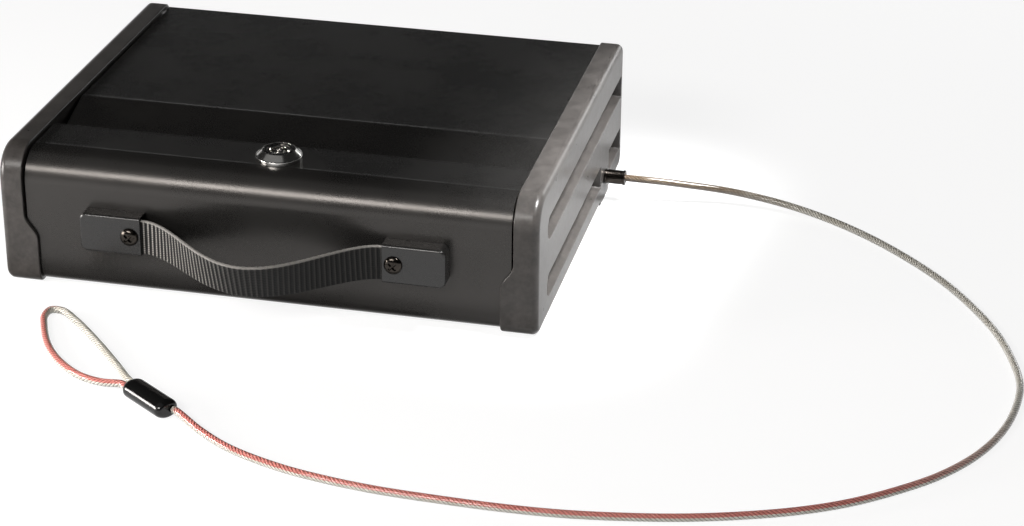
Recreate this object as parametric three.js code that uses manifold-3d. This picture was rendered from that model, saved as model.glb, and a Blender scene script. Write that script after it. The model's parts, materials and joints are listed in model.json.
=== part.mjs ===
// Portable car safe: a folded steel box between two moulded end caps, with a rear-hinged lid,
// a tubular cam lock, a webbing carrying strap and a braided steel tether on a crimped loop.
// Millimetres. X runs across the safe, its front faces -Y and Z points up.

import * as THREE from 'three';
import { mergeVertices } from 'three/addons/utils/BufferGeometryUtils.js';
import Module from 'manifold-3d';

const wasm = await Module();
wasm.setup();

// Overall sizes, over the two end caps
const width = 296;
const depth = 238;
const height = 78;

// Stock and clearances
const sheet = 1.2;
const seat = 0.3;

// Folded body, measured in from the caps' front, rear, top and resting plane
const bodyFrontInset = 2;
const bodyRearInset = 6.7;
const panelDrop = 2.5;
const footHeight = 4;
const noseRadius = 16.6;
const foldRadius = 8;
const edgeRadius = 2.2;
const stripRear = 49.1;
const stripFlange = 19.5;
const rimWidth = 8;

// End caps
const capThickness = 13.4;
const capWall = 2.6;
const capFillet = 4;
const filletSteps = 4;
const capInnerFillet = 0.8;
const capNoseRadius = 17.5;
const capFootRadius = 8;
const capRearRadius = 5;
const reveal = 2;
const lobeReach = 6.9;
const lobeBottomRadius = 2.5;
const lobeCurveBottom = 27;
const lobeCurveTop = 41.5;
const lobeSteps = 12;
const ribPitch = 27;
const ribThickness = 1.6;

// Long recesses in each cap's side
const recessDepth = 6;
const recessHeight = 13.2;
const recessNose = 6.3;
const recessFront = 24;
const recessRearInset = 6;
const recessDraft = 0.9;
const recessWall = 2.2;
const lowerRecess = 12.1;
const upperRecessDrop = 32.6;

// Cap screws, driven from inside the box
const capScrewFront = 40;
const capScrewRearInset = 38;
const capScrewRise = 7.4;
const capScrewRadius = 1.5;
const capScrewHead = 3.5;
const capScrewHeadHeight = 2.2;
const capScrewLength = 11;
const capBossRadius = 4.5;

// Lid
const lidRearInset = 1.5;
const slopeRear = 87.9;
const slopeAngle = 10.4;
const slopeBend = 5;
const lidBend = 2.4;
const lidFlange = 8.6;
const groove = 1.3;

// Piano hinge
const hingeEndGap = 3.4;
const knuckleCount = 10;
const knuckleRadius = 2.8;
const knuckleGap = 0.4;
const hingePinRadius = 1.5;
const leafThickness = 1;
const leafClearance = 0.5;
const lidLeafDepth = 20;
const bodyLeafDepth = 20;

// Tubular cam lock
const lockY = 31;
const collarRadius = 12.5;
const collarTopRadius = 8.9;
const collarRim = 2.3;
const collarHeight = 5.3;
const collarChamfer = 0.6;
const collarLip = 0.5;
const lockFlangeRadius = 10.5;
const lockFlangeHeight = 1;
const lockNeckRadius = 8.2;
const barrelRadius = 8;
const barrelFlats = 14;
const barrelLength = 24;
const plugRadius = 6;
const plugChamfer = 0.4;
const keywayOuter = 4.6;
const keywayInner = 3.1;
const keywayDepth = 5;
const lockNutFlats = 22;
const lockNutHeight = 5;
const tailSide = 7;
const camThickness = 2.4;
const camHubRadius = 9;
const camTipRadius = 6;
const camReach = 27;
const camScrewRadius = 1.5;
const camScrewHead = 6;
const camScrewHeadHeight = 2.4;
const camScrewLength = 9;

// Catch under the lid
const catchWidth = 24;
const catchThickness = 1.5;
const catchClearance = 1;
const catchWeb = 66;
const catchTabFront = 53;
const catchLegRear = 84;
const catchBend = 2.2;

// Carrying strap and its end covers
const strapWidth = 19.5;
const strapThickness = 2;
const strapEdge = 0.6;
const strapEndInset = 2.4;
const strapBow = 33;
const strapSag = 3;
const strapTilt = 15;
const strapStations = 44;
const coverInnerInset = 81.7;
const coverOuterInset = 47.6;
const coverCentre = 38.35;
const coverReach = 9.2;
const coverWall = 0.9;
const coverCorner = 3.8;
const coverEdge = 1;
const strapScrewInset = 6.1;
const strapScrewRadius = 2;
const strapScrewHead = 5;
const strapScrewDome = 2.4;
const strapScrewLength = 15.5;
const strapNutFlats = 7;
const strapNutHeight = 3.2;
const coverBossRadius = 4;

// Tether: gland, cable, ferrule and inner stop
const glandRearInset = 53;
const glandZ = 14.5;
const glandRadius = 4.4;
const glandLength = 12;
const glandRim = 0.9;
const glandWaist = 0.3;
const glandChamfer = 0.4;
const glandThreadRadius = 3.6;
const glandThreadLength = 21;
const glandNutFlats = 12;
const glandNutHeight = 4;
const pilasterWidth = 24;
const pilasterLap = 0.5;
const glandTubeWall = 2.4;
const cableRadius = 2;
const cableSides = 8;
const cableSteps = 62;
const loopSteps = 20;
const floorGap = 0.2;
const stopRadius = 4.4;
const stopLength = 10;
const stopTail = 2;
const stopChamfer = 0.6;
const ferruleLength = 34;
const ferruleWidth = 11.8;
const ferruleHeight = 8.4;
const ferruleStrand = 2.4;
const ferruleSides = 20;

// Liner pad on the floor of the box
const linerThickness = 4;
const linerInset = 2;
const linerCorner = 10;

// Levels and faces that follow from the sizes above
const halfWidth = width / 2;
const capInner = halfWidth - capThickness;
const bodyHalf = capInner - reveal;
const plateInner = bodyHalf - sheet;
const innerHalf = plateInner - seat;
const top = height - panelDrop;
const front = bodyFrontInset;
const rear = depth - bodyRearInset;
const bottom = footHeight;
const lidUnderside = top - sheet;
const rimTop = lidUnderside - seat;
const rimInner = plateInner - rimWidth;
const recessRear = depth - recessRearInset;
const recessFloor = halfWidth - recessDepth;
const upperRecess = height - upperRecessDrop;
const capScrewRear = depth - capScrewRearInset;
const capScrewLow = (lowerRecess + recessHeight + upperRecess) / 2;
const capScrewHigh = upperRecess + recessHeight + capScrewRise;
const hingeLength = 2 * (rimInner - hingeEndGap);
const glandY = depth - glandRearInset;
const hingeY = rear + seat + knuckleRadius;
const hingeZ = rimTop - knuckleRadius;
const rearWallTop = rimTop - leafThickness - leafClearance;
const lidFront = stripRear + groove;
const tanSlope = Math.tan(THREE.MathUtils.degToRad(slopeAngle));
const cosSlope = Math.cos(THREE.MathUtils.degToRad(slopeAngle));
const barrelBottom = top - barrelLength;
const camTop = barrelBottom - seat;
const camBottom = camTop - camThickness;
const catchTab = camBottom - catchClearance;
const lockTop = top + collarHeight;
const coverInner = halfWidth - coverInnerInset;
const coverOuter = halfWidth - coverOuterInset;
const strapScrewX = coverInner + strapScrewInset;
const strapHalfLength = coverOuter - strapEndInset;
const coverFront = front - coverReach;
const coverHeight = strapWidth + 2 * (seat + coverWall);
const strapSeat = coverFront + coverWall + seat + strapThickness / 2;
const glandEnd = halfWidth + glandLength;

// The point on the floor under the middle of the safe, strap included, is the origin
const tilt = THREE.MathUtils.degToRad(strapTilt);
const strapReach = strapBow - strapSeat
  + Math.sin(tilt) * (strapWidth / 2 - strapEdge) + Math.cos(tilt) * (strapThickness / 2);
const middleY = (depth - strapReach) / 2;

// Finest turn between two points of an arc, and the sides of the round pieces of the lock
const arcStep = Math.PI / 12;
const lockSides = 24;

const point = (a, b) => new THREE.Vector2(a, b);

function heading(from, to) {
  return point(to[0] - from[0], to[1] - from[1]).normalize();
}

// A line through corners [a, b, radius], with an arc of that radius in place of each corner
function rounded(corners, closed = true) {
  const count = corners.length;
  const points = [];
  corners.forEach((corner, i) => {
    const [a, b, radius = 0] = corner;
    if (!radius || (!closed && (i === 0 || i === count - 1))) {
      points.push(point(a, b));
      return;
    }
    const into = heading(corners[(i + count - 1) % count], corner);
    const away = heading(corner, corners[(i + 1) % count]);
    const bend = Math.atan2(into.cross(away), into.dot(away));
    const start = point(a, b).addScaledVector(into, -radius * Math.tan(Math.abs(bend) / 2));
    const inward = point(-into.y, into.x).multiplyScalar(Math.sign(bend) * radius);
    const centre = start.clone().add(inward);
    const steps = Math.max(2, Math.ceil(Math.abs(bend) / arcStep - 0.01));
    for (let k = 0; k <= steps; k += 1) {
      points.push(start.clone().rotateAround(centre, (bend * k) / steps));
    }
  });
  return points;
}

// The same corners moved to the left of the line, with their arcs round the same centres.
// A closed outline that runs anticlockwise shrinks by the distance.
function moved(corners, distance, closed = true) {
  const last = corners.length - 1;
  return corners.map((corner, i) => {
    const [a, b, radius = 0] = corner;
    const before = i > 0 || closed ? corners[i > 0 ? i - 1 : last] : null;
    const after = i < last || closed ? corners[i < last ? i + 1 : 0] : null;
    const into = before ? heading(before, corner) : heading(corner, after);
    const away = after ? heading(corner, after) : into;
    const normal = point(-into.y - away.y, into.x + away.x);
    normal.multiplyScalar(distance / (1 + into.dot(away)));
    const bend = radius - Math.sign(into.cross(away)) * distance;
    return [a + normal.x, b + normal.y, radius ? Math.max(bend, 0) : 0];
  });
}

// A bent sheet seen edge on: the line of one face and the other face a thickness to its left
function folded(line, thickness) {
  return [...rounded(line, false), ...rounded(moved(line, thickness, false), false).reverse()];
}

function rectangle(a0, b0, a1, b1, radius = 0) {
  return [[a0, b0, radius], [a1, b0, radius], [a1, b1, radius], [a0, b1, radius]];
}

function circle(a, b, radius, sides = 24, start = 0) {
  return Array.from({ length: sides }, (_, i) => {
    const angle = start + (2 * Math.PI * i) / sides;
    return point(a + radius * Math.cos(angle), b + radius * Math.sin(angle));
  });
}

// A hexagon of a given width across its flats
function hexagon(a, b, flats) {
  return circle(a, b, flats / Math.sqrt(3), 6);
}

const unitX = new THREE.Vector3(1, 0, 0);
const unitY = new THREE.Vector3(0, 1, 0);
const unitZ = new THREE.Vector3(0, 0, 1);

// Outlines lie in Y and Z along X, in X and Z along Y, and in X and Y along Z
const layouts = {
  x: new THREE.Matrix4().makeBasis(unitY, unitZ, unitX),
  y: new THREE.Matrix4().makeBasis(unitX, unitZ, unitY.clone().negate()),
  z: new THREE.Matrix4(),
};

// A straight solid with the outline as its section, from one level to another along an axis
function prism(axis, points, from, to) {
  const shape = new THREE.Shape(points);
  const geometry = new THREE.ExtrudeGeometry(shape, { depth: to - from, bevelEnabled: false });
  geometry.translate(0, 0, axis === 'y' ? -to : from);
  return geometry.applyMatrix4(layouts[axis]);
}

function block(x0, y0, z0, x1, y1, z1) {
  return prism('z', rounded(rectangle(x0, y0, x1, y1)), z0, z1);
}

// A solid of revolution about an axis through a place, its profile in [radius, distance along].
// Tools that open a face reach 1 mm past it.
const spins = {
  x: new THREE.Matrix4().makeBasis(unitY, unitX, unitZ.clone().negate()),
  y: new THREE.Matrix4().makeBasis(unitZ.clone().negate(), unitY.clone().negate(), unitX.clone().negate()),
  z: new THREE.Matrix4().makeRotationX(Math.PI / 2),
};

function turned(axis, profile, place, sides = lockSides) {
  const geometry = new THREE.LatheGeometry(profile.map(([r, h]) => point(r, h)), sides);
  return geometry.applyMatrix4(spins[axis]).translate(...place);
}

// The triangles between rings of equal length whose points are numbered one ring after another
function skin(ringCount, size) {
  const index = [];
  for (let k = 0; k < ringCount - 1; k += 1) {
    for (let i = 0; i < size; i += 1) {
      const a = k * size + i;
      const b = k * size + ((i + 1) % size);
      index.push(a, b, b + size, a, b + size, a + size);
    }
  }
  return index;
}

function meshed(positions, index) {
  const geometry = new THREE.BufferGeometry();
  geometry.setAttribute('position', new THREE.Float32BufferAttribute(positions, 3));
  geometry.setIndex(index);
  return geometry;
}

// A closed solid through outlines of equal length, each set at its own place along X
function loft(rings) {
  const size = rings[0].points.length;
  const positions = rings.flatMap(({ at, points }) => points.flatMap((p) => [at, p.x, p.y]));
  const index = skin(rings.length, size);
  const lastRing = (rings.length - 1) * size;
  THREE.ShapeUtils.triangulateShape(rings[0].points, []).forEach(([a, b, c]) => {
    index.push(a, c, b);
  });
  THREE.ShapeUtils.triangulateShape(rings.at(-1).points, []).forEach(([a, b, c]) => {
    index.push(lastRing + a, lastRing + b, lastRing + c);
  });
  return meshed(positions, index);
}

// A closed solid swept through rings of points that are already placed in space
function sweep(rings) {
  const size = rings[0].length;
  const positions = rings.flat().flatMap((p) => p.toArray());
  const index = skin(rings.length, size);
  const lastRing = (rings.length - 1) * size;
  for (let i = 1; i < size - 1; i += 1) {
    index.push(0, i + 1, i);
    index.push(lastRing, lastRing + i, lastRing + i + 1);
  }
  return meshed(positions, index);
}

// ExtrudeGeometry and LatheGeometry repeat vertices, and a pole leaves flat triangles: both go
function welded(geometry) {
  const bare = geometry.clone();
  bare.deleteAttribute('normal');
  bare.deleteAttribute('uv');
  const merged = mergeVertices(bare, 1e-4);
  const kept = [];
  const corners = merged.index.array;
  for (let i = 0; i < corners.length; i += 3) {
    const [a, b, c] = corners.slice(i, i + 3);
    if (a !== b && b !== c && c !== a) kept.push(a, b, c);
  }
  merged.setIndex(kept);
  return merged;
}

function solid(geometry) {
  const merged = welded(geometry);
  return new wasm.Manifold(new wasm.Mesh({
    numProp: 3,
    vertProperties: Float32Array.from(merged.attributes.position.array),
    triVerts: Uint32Array.from(merged.index.array),
  }));
}

function join(...geometries) {
  return surface(geometries.map(solid).reduce((whole, next) => whole.add(next)));
}

function cut(base, ...tools) {
  return surface(tools.map(solid).reduce((whole, next) => whole.subtract(next), solid(base)));
}

function common(base, tool) {
  return surface(solid(base).intersect(solid(tool)));
}

function surface(body) {
  const mesh = body.getMesh();
  const geometry = new THREE.BufferGeometry();
  geometry.setAttribute('position', new THREE.BufferAttribute(mesh.vertProperties, 3));
  geometry.setIndex(new THREE.BufferAttribute(mesh.triVerts, 1));
  return geometry;
}

// The same piece for the other side of the safe, which is a mirror image
function mirrored(geometry) {
  const copy = welded(geometry).applyMatrix4(new THREE.Matrix4().makeScale(-1, 1, 1));
  const corners = Array.from(copy.index.array);
  for (let i = 0; i < corners.length; i += 3) {
    [corners[i + 1], corners[i + 2]] = [corners[i + 2], corners[i + 1]];
  }
  copy.setIndex(corners);
  return copy;
}

// The folded body: strip with its rear flange, nose, front, floor and rear wall in one sheet
const bodyLine = [
  [stripRear, top - stripFlange],
  [stripRear, top, edgeRadius],
  [front, top, noseRadius],
  [front, bottom, foldRadius],
  [rear, bottom, foldRadius],
  [rear, rearWallTop],
];

// The closed outline that the body's outer faces lie on
const bodyOutline = [
  [front, bottom, foldRadius],
  [rear, bottom, foldRadius],
  [rear, top, edgeRadius],
  [front, top, noseRadius],
];

// The barrel of the lock is round with two flats, and its hole in the strip keeps it from turning
function doubleFlat(clearance) {
  const radius = barrelRadius + clearance;
  const half = barrelFlats / 2 + clearance;
  const whole = prism('z', circle(0, lockY, radius, lockSides), barrelBottom, top + seat);
  const flats = block(-radius, lockY - half, barrelBottom - 1, radius, lockY + half, top + 1);
  return common(whole, flats);
}

function bodyShell() {
  const withFlange = prism('x', folded(bodyLine, sheet), -innerHalf, innerHalf);
  const stripEnd = [stripRear - edgeRadius, top];
  const fullWidth = prism('x', folded([stripEnd, ...bodyLine.slice(2)], sheet), -bodyHalf, bodyHalf);
  const screwHole = (x) => {
    const hole = circle(x, coverCentre, strapScrewRadius + seat, 16);
    return prism('y', hole, front - 1, front + sheet + 1);
  };
  const body = join(withFlange, fullWidth);
  return cut(body, doubleFlat(seat), screwHole(-strapScrewX), screwHole(strapScrewX));
}

// The lid: panel, ten degree slope down into the groove and a flange behind the strip
const slopeDrop = (slopeRear - lidFront) * tanSlope;
const lidLine = [
  [depth - lidRearInset, top],
  [slopeRear, top, slopeBend],
  [lidFront, top - slopeDrop, lidBend],
  [lidFront, top - slopeDrop - lidFlange],
];
const lidSeatLine = moved(lidLine, sheet + seat, false);

function lidPanel() {
  const withFlange = prism('x', folded(lidLine, sheet), -innerHalf, innerHalf);
  const lipEnd = [lidFront + lidBend, top - slopeDrop + lidBend * tanSlope];
  const fullWidth = prism('x', folded([lidLine[0], lidLine[1], lipEnd], sheet), -bodyHalf, bodyHalf);
  return join(withFlange, fullWidth);
}

// The height of the slope's underside, moved down by a clearance
function underSlope(y, clearance) {
  return top - (slopeRear - y) * tanSlope - (sheet + clearance) / cosSlope;
}

// The side wall inside the body: a plate with an inward rim that carries the lid's edges
function sideWall() {
  const outline = [
    ...moved(bodyOutline, sheet + seat).slice(0, 2),
    [rear - sheet - seat, rimTop],
    [lidSeatLine[1][0], rimTop],
    [stripRear - sheet - seat, underSlope(stripRear - sheet - seat, seat)],
    [stripRear - sheet - seat, rimTop],
    [front + sheet + seat, rimTop, noseRadius - sheet - seat],
  ];
  const plate = prism('x', rounded(outline), plateInner, bodyHalf);
  const rimOuter = prism('x', rounded(moved(bodyOutline, sheet + seat)), rimInner, bodyHalf);
  const rimHollow = prism('x', rounded(moved(bodyOutline, 2 * sheet + seat)), rimInner - 1, bodyHalf + 1);
  const rim = common(cut(rimOuter, rimHollow), block(0, 0, 0, halfWidth, depth, rimTop));
  const lipRoom = block(
    rimInner - 1, stripRear - sheet - seat - rimWidth, bottom + height / 2,
    bodyHalf + 1, slopeRear + rimWidth / 2, height,
  );
  const openRim = cut(rim, lipRoom);
  const gland = circle(glandY, glandZ, glandThreadRadius + seat, 16);
  const glandHole = prism('x', gland, plateInner - 1, bodyHalf + 1);
  const holes = capScrewPlaces().map(([y, z]) => (
    prism('x', circle(y, z, capScrewRadius + seat, 12), plateInner - 1, bodyHalf + 1)
  ));
  const plain = cut(join(plate, openRim), ...holes);
  return { left: mirrored(plain), right: cut(plain, glandHole) };
}

function capScrewPlaces() {
  return [capScrewFront, capScrewRear].flatMap((y) => [[y, capScrewLow], [y, capScrewHigh]]);
}

// The end caps: ribbed mouldings with two long recesses and feet that lap round the body
const capOutline = [
  [0, 0, capFootRadius],
  [depth, 0, capFootRadius],
  [depth, height, capRearRadius],
  [0, height, capNoseRadius],
];

// The moulding's outer form, its outer edge rounded over and its inner edge just broken
function capBlank() {
  const rings = [
    { at: capInner, points: rounded(moved(capOutline, capInnerFillet)) },
    { at: capInner + capInnerFillet, points: rounded(capOutline) },
  ];
  for (let k = 0; k <= filletSteps; k += 1) {
    const angle = (Math.PI / 2) * (k / filletSteps);
    const inset = capFillet * (1 - Math.cos(angle));
    rings.push({
      at: halfWidth - capFillet + capFillet * Math.sin(angle),
      points: rounded(moved(capOutline, inset)),
    });
  }
  return loft(rings);
}

// A recess with a round front end and a flat rear end, drawn in by its draft towards its floor
function recess(z, yFront, yRear) {
  const mouth = [
    [yFront, z, recessNose],
    [yRear, z],
    [yRear, z + recessHeight],
    [yFront, z + recessHeight, recessNose],
  ];
  return loft([
    { at: recessFloor, points: rounded(moved(mouth, recessDraft)) },
    { at: halfWidth, points: rounded(mouth) },
    { at: halfWidth + 1, points: rounded(mouth) },
  ]);
}

function recessShell(z) {
  const outline = rectangle(recessFront, z, recessRear, z + recessHeight);
  const grown = rounded(moved(outline, -recessWall));
  return prism('x', grown, recessFloor - recessWall, halfWidth);
}

// The foot of a cap, cut back above by a curve that runs up the body's front and rear
function capLobe() {
  const outer = prism('x', rounded(capOutline), capInner - lobeReach, capInner + capInnerFillet);
  const inner = prism('x', rounded(moved(bodyOutline, -seat)), capInner - lobeReach - 1, halfWidth);
  const reach = capInner - lobeReach;
  const curve = Array.from({ length: lobeSteps + 1 }, (_, k) => {
    const share = 1 - k / lobeSteps;
    const rise = (1 - Math.cos(Math.PI * share)) / 2;
    return [reach + lobeReach * rise, lobeCurveBottom + (lobeCurveTop - lobeCurveBottom) * share];
  });
  const mask = [
    [reach, 0, lobeBottomRadius],
    [halfWidth, 0],
    [halfWidth, lobeCurveTop],
    ...curve,
  ];
  return common(cut(outer, inner), prism('y', rounded(mask), -1, depth + 1));
}

function endCap(withGland) {
  const cavityOutline = rounded(moved(capOutline, capWall));
  let cavity = prism('x', cavityOutline, capInner - 1, halfWidth - capWall);
  cavity = cut(cavity, recessShell(lowerRecess), recessShell(upperRecess));
  const ribs = Math.floor((depth - 2 * capWall) / ribPitch);
  const spacing = depth / (ribs + 1);
  for (let i = 1; i <= ribs; i += 1) {
    const y = i * spacing - ribThickness / 2;
    cavity = cut(cavity, block(capInner + capInnerFillet, y, 0, halfWidth, y + ribThickness, height));
  }
  const places = capScrewPlaces();
  places.forEach(([y, z]) => {
    cavity = cut(cavity, prism('x', circle(y, z, capBossRadius, 16), capInner - 2, halfWidth));
  });
  const pilasterFront = glandY - pilasterWidth / 2;
  const pilasterRear = glandY + pilasterWidth / 2;
  if (withGland) {
    const room = block(capInner - 2, pilasterFront, 0, halfWidth, pilasterRear, lowerRecess + recessHeight);
    cavity = cut(cavity, room);
  }
  let cap = cut(capBlank(), cavity, recess(upperRecess, recessFront, recessRear));
  cap = cut(cap, recess(lowerRecess, recessFront, recessRear));
  cap = join(cap, capLobe(), ...places.map(([y, z]) => (
    prism('x', circle(y, z, capBossRadius, 16), bodyHalf + seat, halfWidth - capWall)
  )));
  cap = cut(cap, ...places.map(([y, z]) => (
    prism('x', circle(y, z, capScrewRadius + seat, 12), capInner - reveal, plateInner + capScrewLength + 1)
  )));
  if (!withGland) return mirrored(cap);
  const pilaster = block(
    recessFloor - 1, pilasterFront, capInnerFillet,
    halfWidth, pilasterRear, lowerRecess + recessHeight + pilasterLap,
  );
  const tubeOutline = circle(glandY, glandZ, glandThreadRadius + glandTubeWall);
  const sleeve = prism('x', tubeOutline, bodyHalf + seat, halfWidth - 1);
  const thread = circle(glandY, glandZ, glandThreadRadius + seat, 16);
  return cut(join(cap, pilaster, sleeve), prism('x', thread, capInner - reveal, halfWidth + 1));
}

// Pan-head screw from the box into one of the caps' bosses
function capScrew(y, z) {
  return turned('x', [
    [0, plateInner - seat - capScrewHeadHeight],
    [capScrewHead - 1, plateInner - seat - capScrewHeadHeight],
    [capScrewHead, plateInner - seat - capScrewHeadHeight / 2],
    [capScrewHead, plateInner - seat],
    [capScrewRadius, plateInner - seat],
    [capScrewRadius, plateInner - seat + capScrewLength - capScrewRadius],
    [0, plateInner - seat + capScrewLength],
  ], [0, y, z], 12);
}

// Piano hinge: rolled knuckles in turn on the rear wall's leaf and on the lid's leaf
const knucklePitch = hingeLength / knuckleCount;

function knuckle(i, flat) {
  const from = -hingeLength / 2 + i * knucklePitch + knuckleGap / 2;
  const to = from + knucklePitch - knuckleGap;
  const roll = prism('x', circle(hingeY, hingeZ, knuckleRadius, 12), from, to);
  const [y0, z0, y1, z1] = flat;
  return { roll, tab: block(from, y0, z0, to, y1, z1) };
}

function hingeLeaf(parity, flat, plate) {
  const pieces = [block(-hingeLength / 2, plate[0], plate[1], hingeLength / 2, plate[2], plate[3])];
  for (let i = parity; i < knuckleCount; i += 2) {
    const { roll, tab } = knuckle(i, flat);
    pieces.push(roll, tab);
  }
  const bore = circle(hingeY, hingeZ, hingePinRadius + seat, 12);
  return cut(join(...pieces), prism('x', bore, -hingeLength / 2 - 1, hingeLength / 2 + 1));
}

function hingeBodyLeaf() {
  const face = hingeY - knuckleRadius;
  const edge = hingeZ - knuckleRadius - seat;
  return hingeLeaf(
    0,
    [face, edge - 1, face + leafThickness, hingeZ],
    [face, hingeZ - bodyLeafDepth, face + leafThickness, edge],
  );
}

function hingeLidLeaf() {
  const face = hingeZ + knuckleRadius;
  const edge = hingeY - knuckleRadius - seat;
  return hingeLeaf(
    1,
    [edge - 1, face - leafThickness, hingeY, face],
    [hingeY - lidLeafDepth, face - leafThickness, edge, face],
  );
}

function hingePin() {
  const half = hingeLength / 2 - knuckleGap;
  return prism('x', circle(hingeY, hingeZ, hingePinRadius, 12), -half, half);
}

// Lock: flanged housing through the strip, dress collar, plug, cam, nut and cam screw
function lockCollar() {
  return turned('z', [
    [lockFlangeRadius + seat, top],
    [collarRadius, top],
    [collarRadius, top + collarRim - collarChamfer],
    [collarRadius - collarChamfer, top + collarRim],
    [collarTopRadius + collarLip, lockTop - collarLip],
    [collarTopRadius, lockTop],
    [lockNeckRadius + seat, lockTop],
    [lockNeckRadius + seat, top + lockFlangeHeight + seat],
    [lockFlangeRadius + seat, top + lockFlangeHeight + seat],
    [lockFlangeRadius + seat, top],
  ], [0, lockY, 0]);
}

function lockHousing() {
  const head = turned('z', [
    [0, top],
    [lockFlangeRadius, top],
    [lockFlangeRadius, top + lockFlangeHeight],
    [lockNeckRadius, top + lockFlangeHeight],
    [lockNeckRadius, lockTop - collarLip],
    [lockNeckRadius - collarLip, lockTop],
    [0, lockTop],
  ], [0, lockY, 0]);
  const bore = prism('z', circle(0, lockY, plugRadius + seat, lockSides), barrelBottom - 1, lockTop + 1);
  return cut(join(head, doubleFlat(0)), bore);
}

function lockPlug() {
  const face = lockTop - seat;
  const body = turned('z', [
    [0, barrelBottom],
    [plugRadius, barrelBottom],
    [plugRadius, face - plugChamfer],
    [plugRadius - plugChamfer, face],
    [0, face],
  ], [0, lockY, 0]);
  const keyway = turned('z', [
    [keywayInner, face - keywayDepth],
    [keywayOuter, face - keywayDepth],
    [keywayOuter, face + 1],
    [keywayInner, face + 1],
    [keywayInner, face - keywayDepth],
  ], [0, lockY, 0]);
  const half = tailSide / 2;
  const tail = block(-half, lockY - half, camBottom, half, lockY + half, barrelBottom + 1);
  const thread = circle(0, lockY, camScrewRadius + seat, 12);
  const hole = prism('z', thread, camBottom - 1, camBottom + camScrewLength);
  return cut(join(body, tail), keyway, hole);
}

function lockNut() {
  const z = lidUnderside - seat;
  const nut = prism('z', hexagon(0, lockY, lockNutFlats), z - lockNutHeight, z);
  return cut(nut, prism('z', circle(0, lockY, barrelRadius + seat, lockSides), z - lockNutHeight - 1, z + 1));
}

// The cam lies along +X with the lid free, and a quarter turn brings it over the catch
function lockCam() {
  const arm = [
    [0, lockY - camHubRadius],
    [camReach, lockY - camTipRadius, camTipRadius - 1],
    [camReach, lockY + camTipRadius, camTipRadius - 1],
    [0, lockY + camHubRadius],
  ];
  const hub = prism('z', circle(0, lockY, camHubRadius, lockSides), camBottom, camTop);
  const plate = prism('z', rounded(arm), camBottom, camTop);
  const half = tailSide / 2 + seat;
  const square = block(-half, lockY - half, camBottom - 1, half, lockY + half, camTop + 1);
  return cut(join(hub, plate), square);
}

function camScrew() {
  const face = camBottom - seat;
  return turned('z', [
    [0, face - camScrewHeadHeight],
    [camScrewHead - camScrewHeadHeight / 2, face - camScrewHeadHeight],
    [camScrewHead, face - camScrewHeadHeight / 2],
    [camScrewHead, face],
    [camScrewRadius, face],
    [camScrewRadius, face + camScrewLength - camScrewRadius],
    [0, face + camScrewLength - camScrewRadius / 2],
  ], [0, lockY, 0], 16);
}

// The catch: a hooked bracket under the slope, whose tab the cam turns over
function lidCatch() {
  const line = [
    [catchLegRear, underSlope(catchLegRear, seat)],
    [catchWeb, underSlope(catchWeb, seat), catchBend],
    [catchWeb, catchTab, catchBend],
    [catchTabFront, catchTab],
  ];
  return prism('x', folded(line, catchThickness), -catchWidth / 2, catchWidth / 2);
}

// Strap cover: a moulded pocket with an open inner end and a boss for the strap's screw
function handleCover() {
  const half = coverHeight / 2;
  const outline = [
    [coverInner, coverCentre - half],
    [coverOuter, coverCentre - half, coverCorner],
    [coverOuter, coverCentre + half, coverCorner],
    [coverInner, coverCentre + half],
  ];
  const shell = prism('y', rounded(outline), coverFront + coverEdge, front);
  const face = prism('y', rounded(moved(outline, coverEdge / 2)), coverFront, coverFront + coverEdge + 1);
  const pocketOutline = moved(outline, coverWall);
  pocketOutline[0][0] = coverInner - 1;
  pocketOutline[3][0] = coverInner - 1;
  const pocket = prism('y', rounded(pocketOutline), coverFront + coverWall, front + 1);
  const post = circle(strapScrewX, coverCentre, coverBossRadius);
  const boss = prism('y', post, coverFront + coverWall / 2, front);
  const bore = circle(strapScrewX, coverCentre, strapScrewRadius + seat, 16);
  return cut(join(cut(join(shell, face), pocket), boss), prism('y', bore, coverFront - 1, front + 1));
}

// The strap's middle line across the safe: straight in its covers, bowed out between them
function strapLine(x) {
  const share = Math.min(Math.abs(x) / coverInner, 1);
  const bow = (1 - share * share) ** 2;
  return {
    centre: new THREE.Vector3(x, strapSeat - strapBow * bow, coverCentre - strapSag * bow),
    lean: tilt * bow,
  };
}

function strap() {
  const rings = [];
  const stride = (2 * strapHalfLength) / strapStations;
  for (let k = 0; k <= strapStations; k += 1) {
    const x = -strapHalfLength + k * stride;
    const { centre, lean } = strapLine(x);
    const ahead = strapLine(x + 0.5).centre.sub(strapLine(x - 0.5).centre).normalize();
    const up = new THREE.Vector3(0, -Math.sin(lean), Math.cos(lean));
    const out = new THREE.Vector3().crossVectors(ahead, up).normalize();
    const across = new THREE.Vector3().crossVectors(out, ahead).normalize();
    const w = strapWidth / 2;
    const t = strapThickness / 2;
    const e = strapEdge;
    const section = [
      [w, t - e], [w - e, t], [e - w, t], [-w, t - e],
      [-w, e - t], [e - w, -t], [w - e, -t], [w, e - t],
    ];
    rings.push(section.map(([a, b]) => (
      centre.clone().addScaledVector(across, a).addScaledVector(out, b)
    )));
  }
  const hole = (x) => {
    const outline = circle(x, coverCentre, coverBossRadius + seat);
    return prism('y', outline, strapSeat - strapThickness, strapSeat + strapThickness);
  };
  return cut(sweep(rings), hole(-strapScrewX), hole(strapScrewX));
}

function handleScrew() {
  const face = coverFront - seat;
  const dome = 6;
  const profile = [[0, -strapScrewLength], [strapScrewRadius, -strapScrewLength]];
  profile.push([strapScrewRadius, 0], [strapScrewHead, 0]);
  for (let k = 1; k <= dome; k += 1) {
    const angle = (Math.PI / 2) * (k / dome);
    profile.push([k === dome ? 0 : strapScrewHead * Math.cos(angle), strapScrewDome * Math.sin(angle)]);
  }
  return turned('y', profile, [strapScrewX, face, coverCentre], 20);
}

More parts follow.
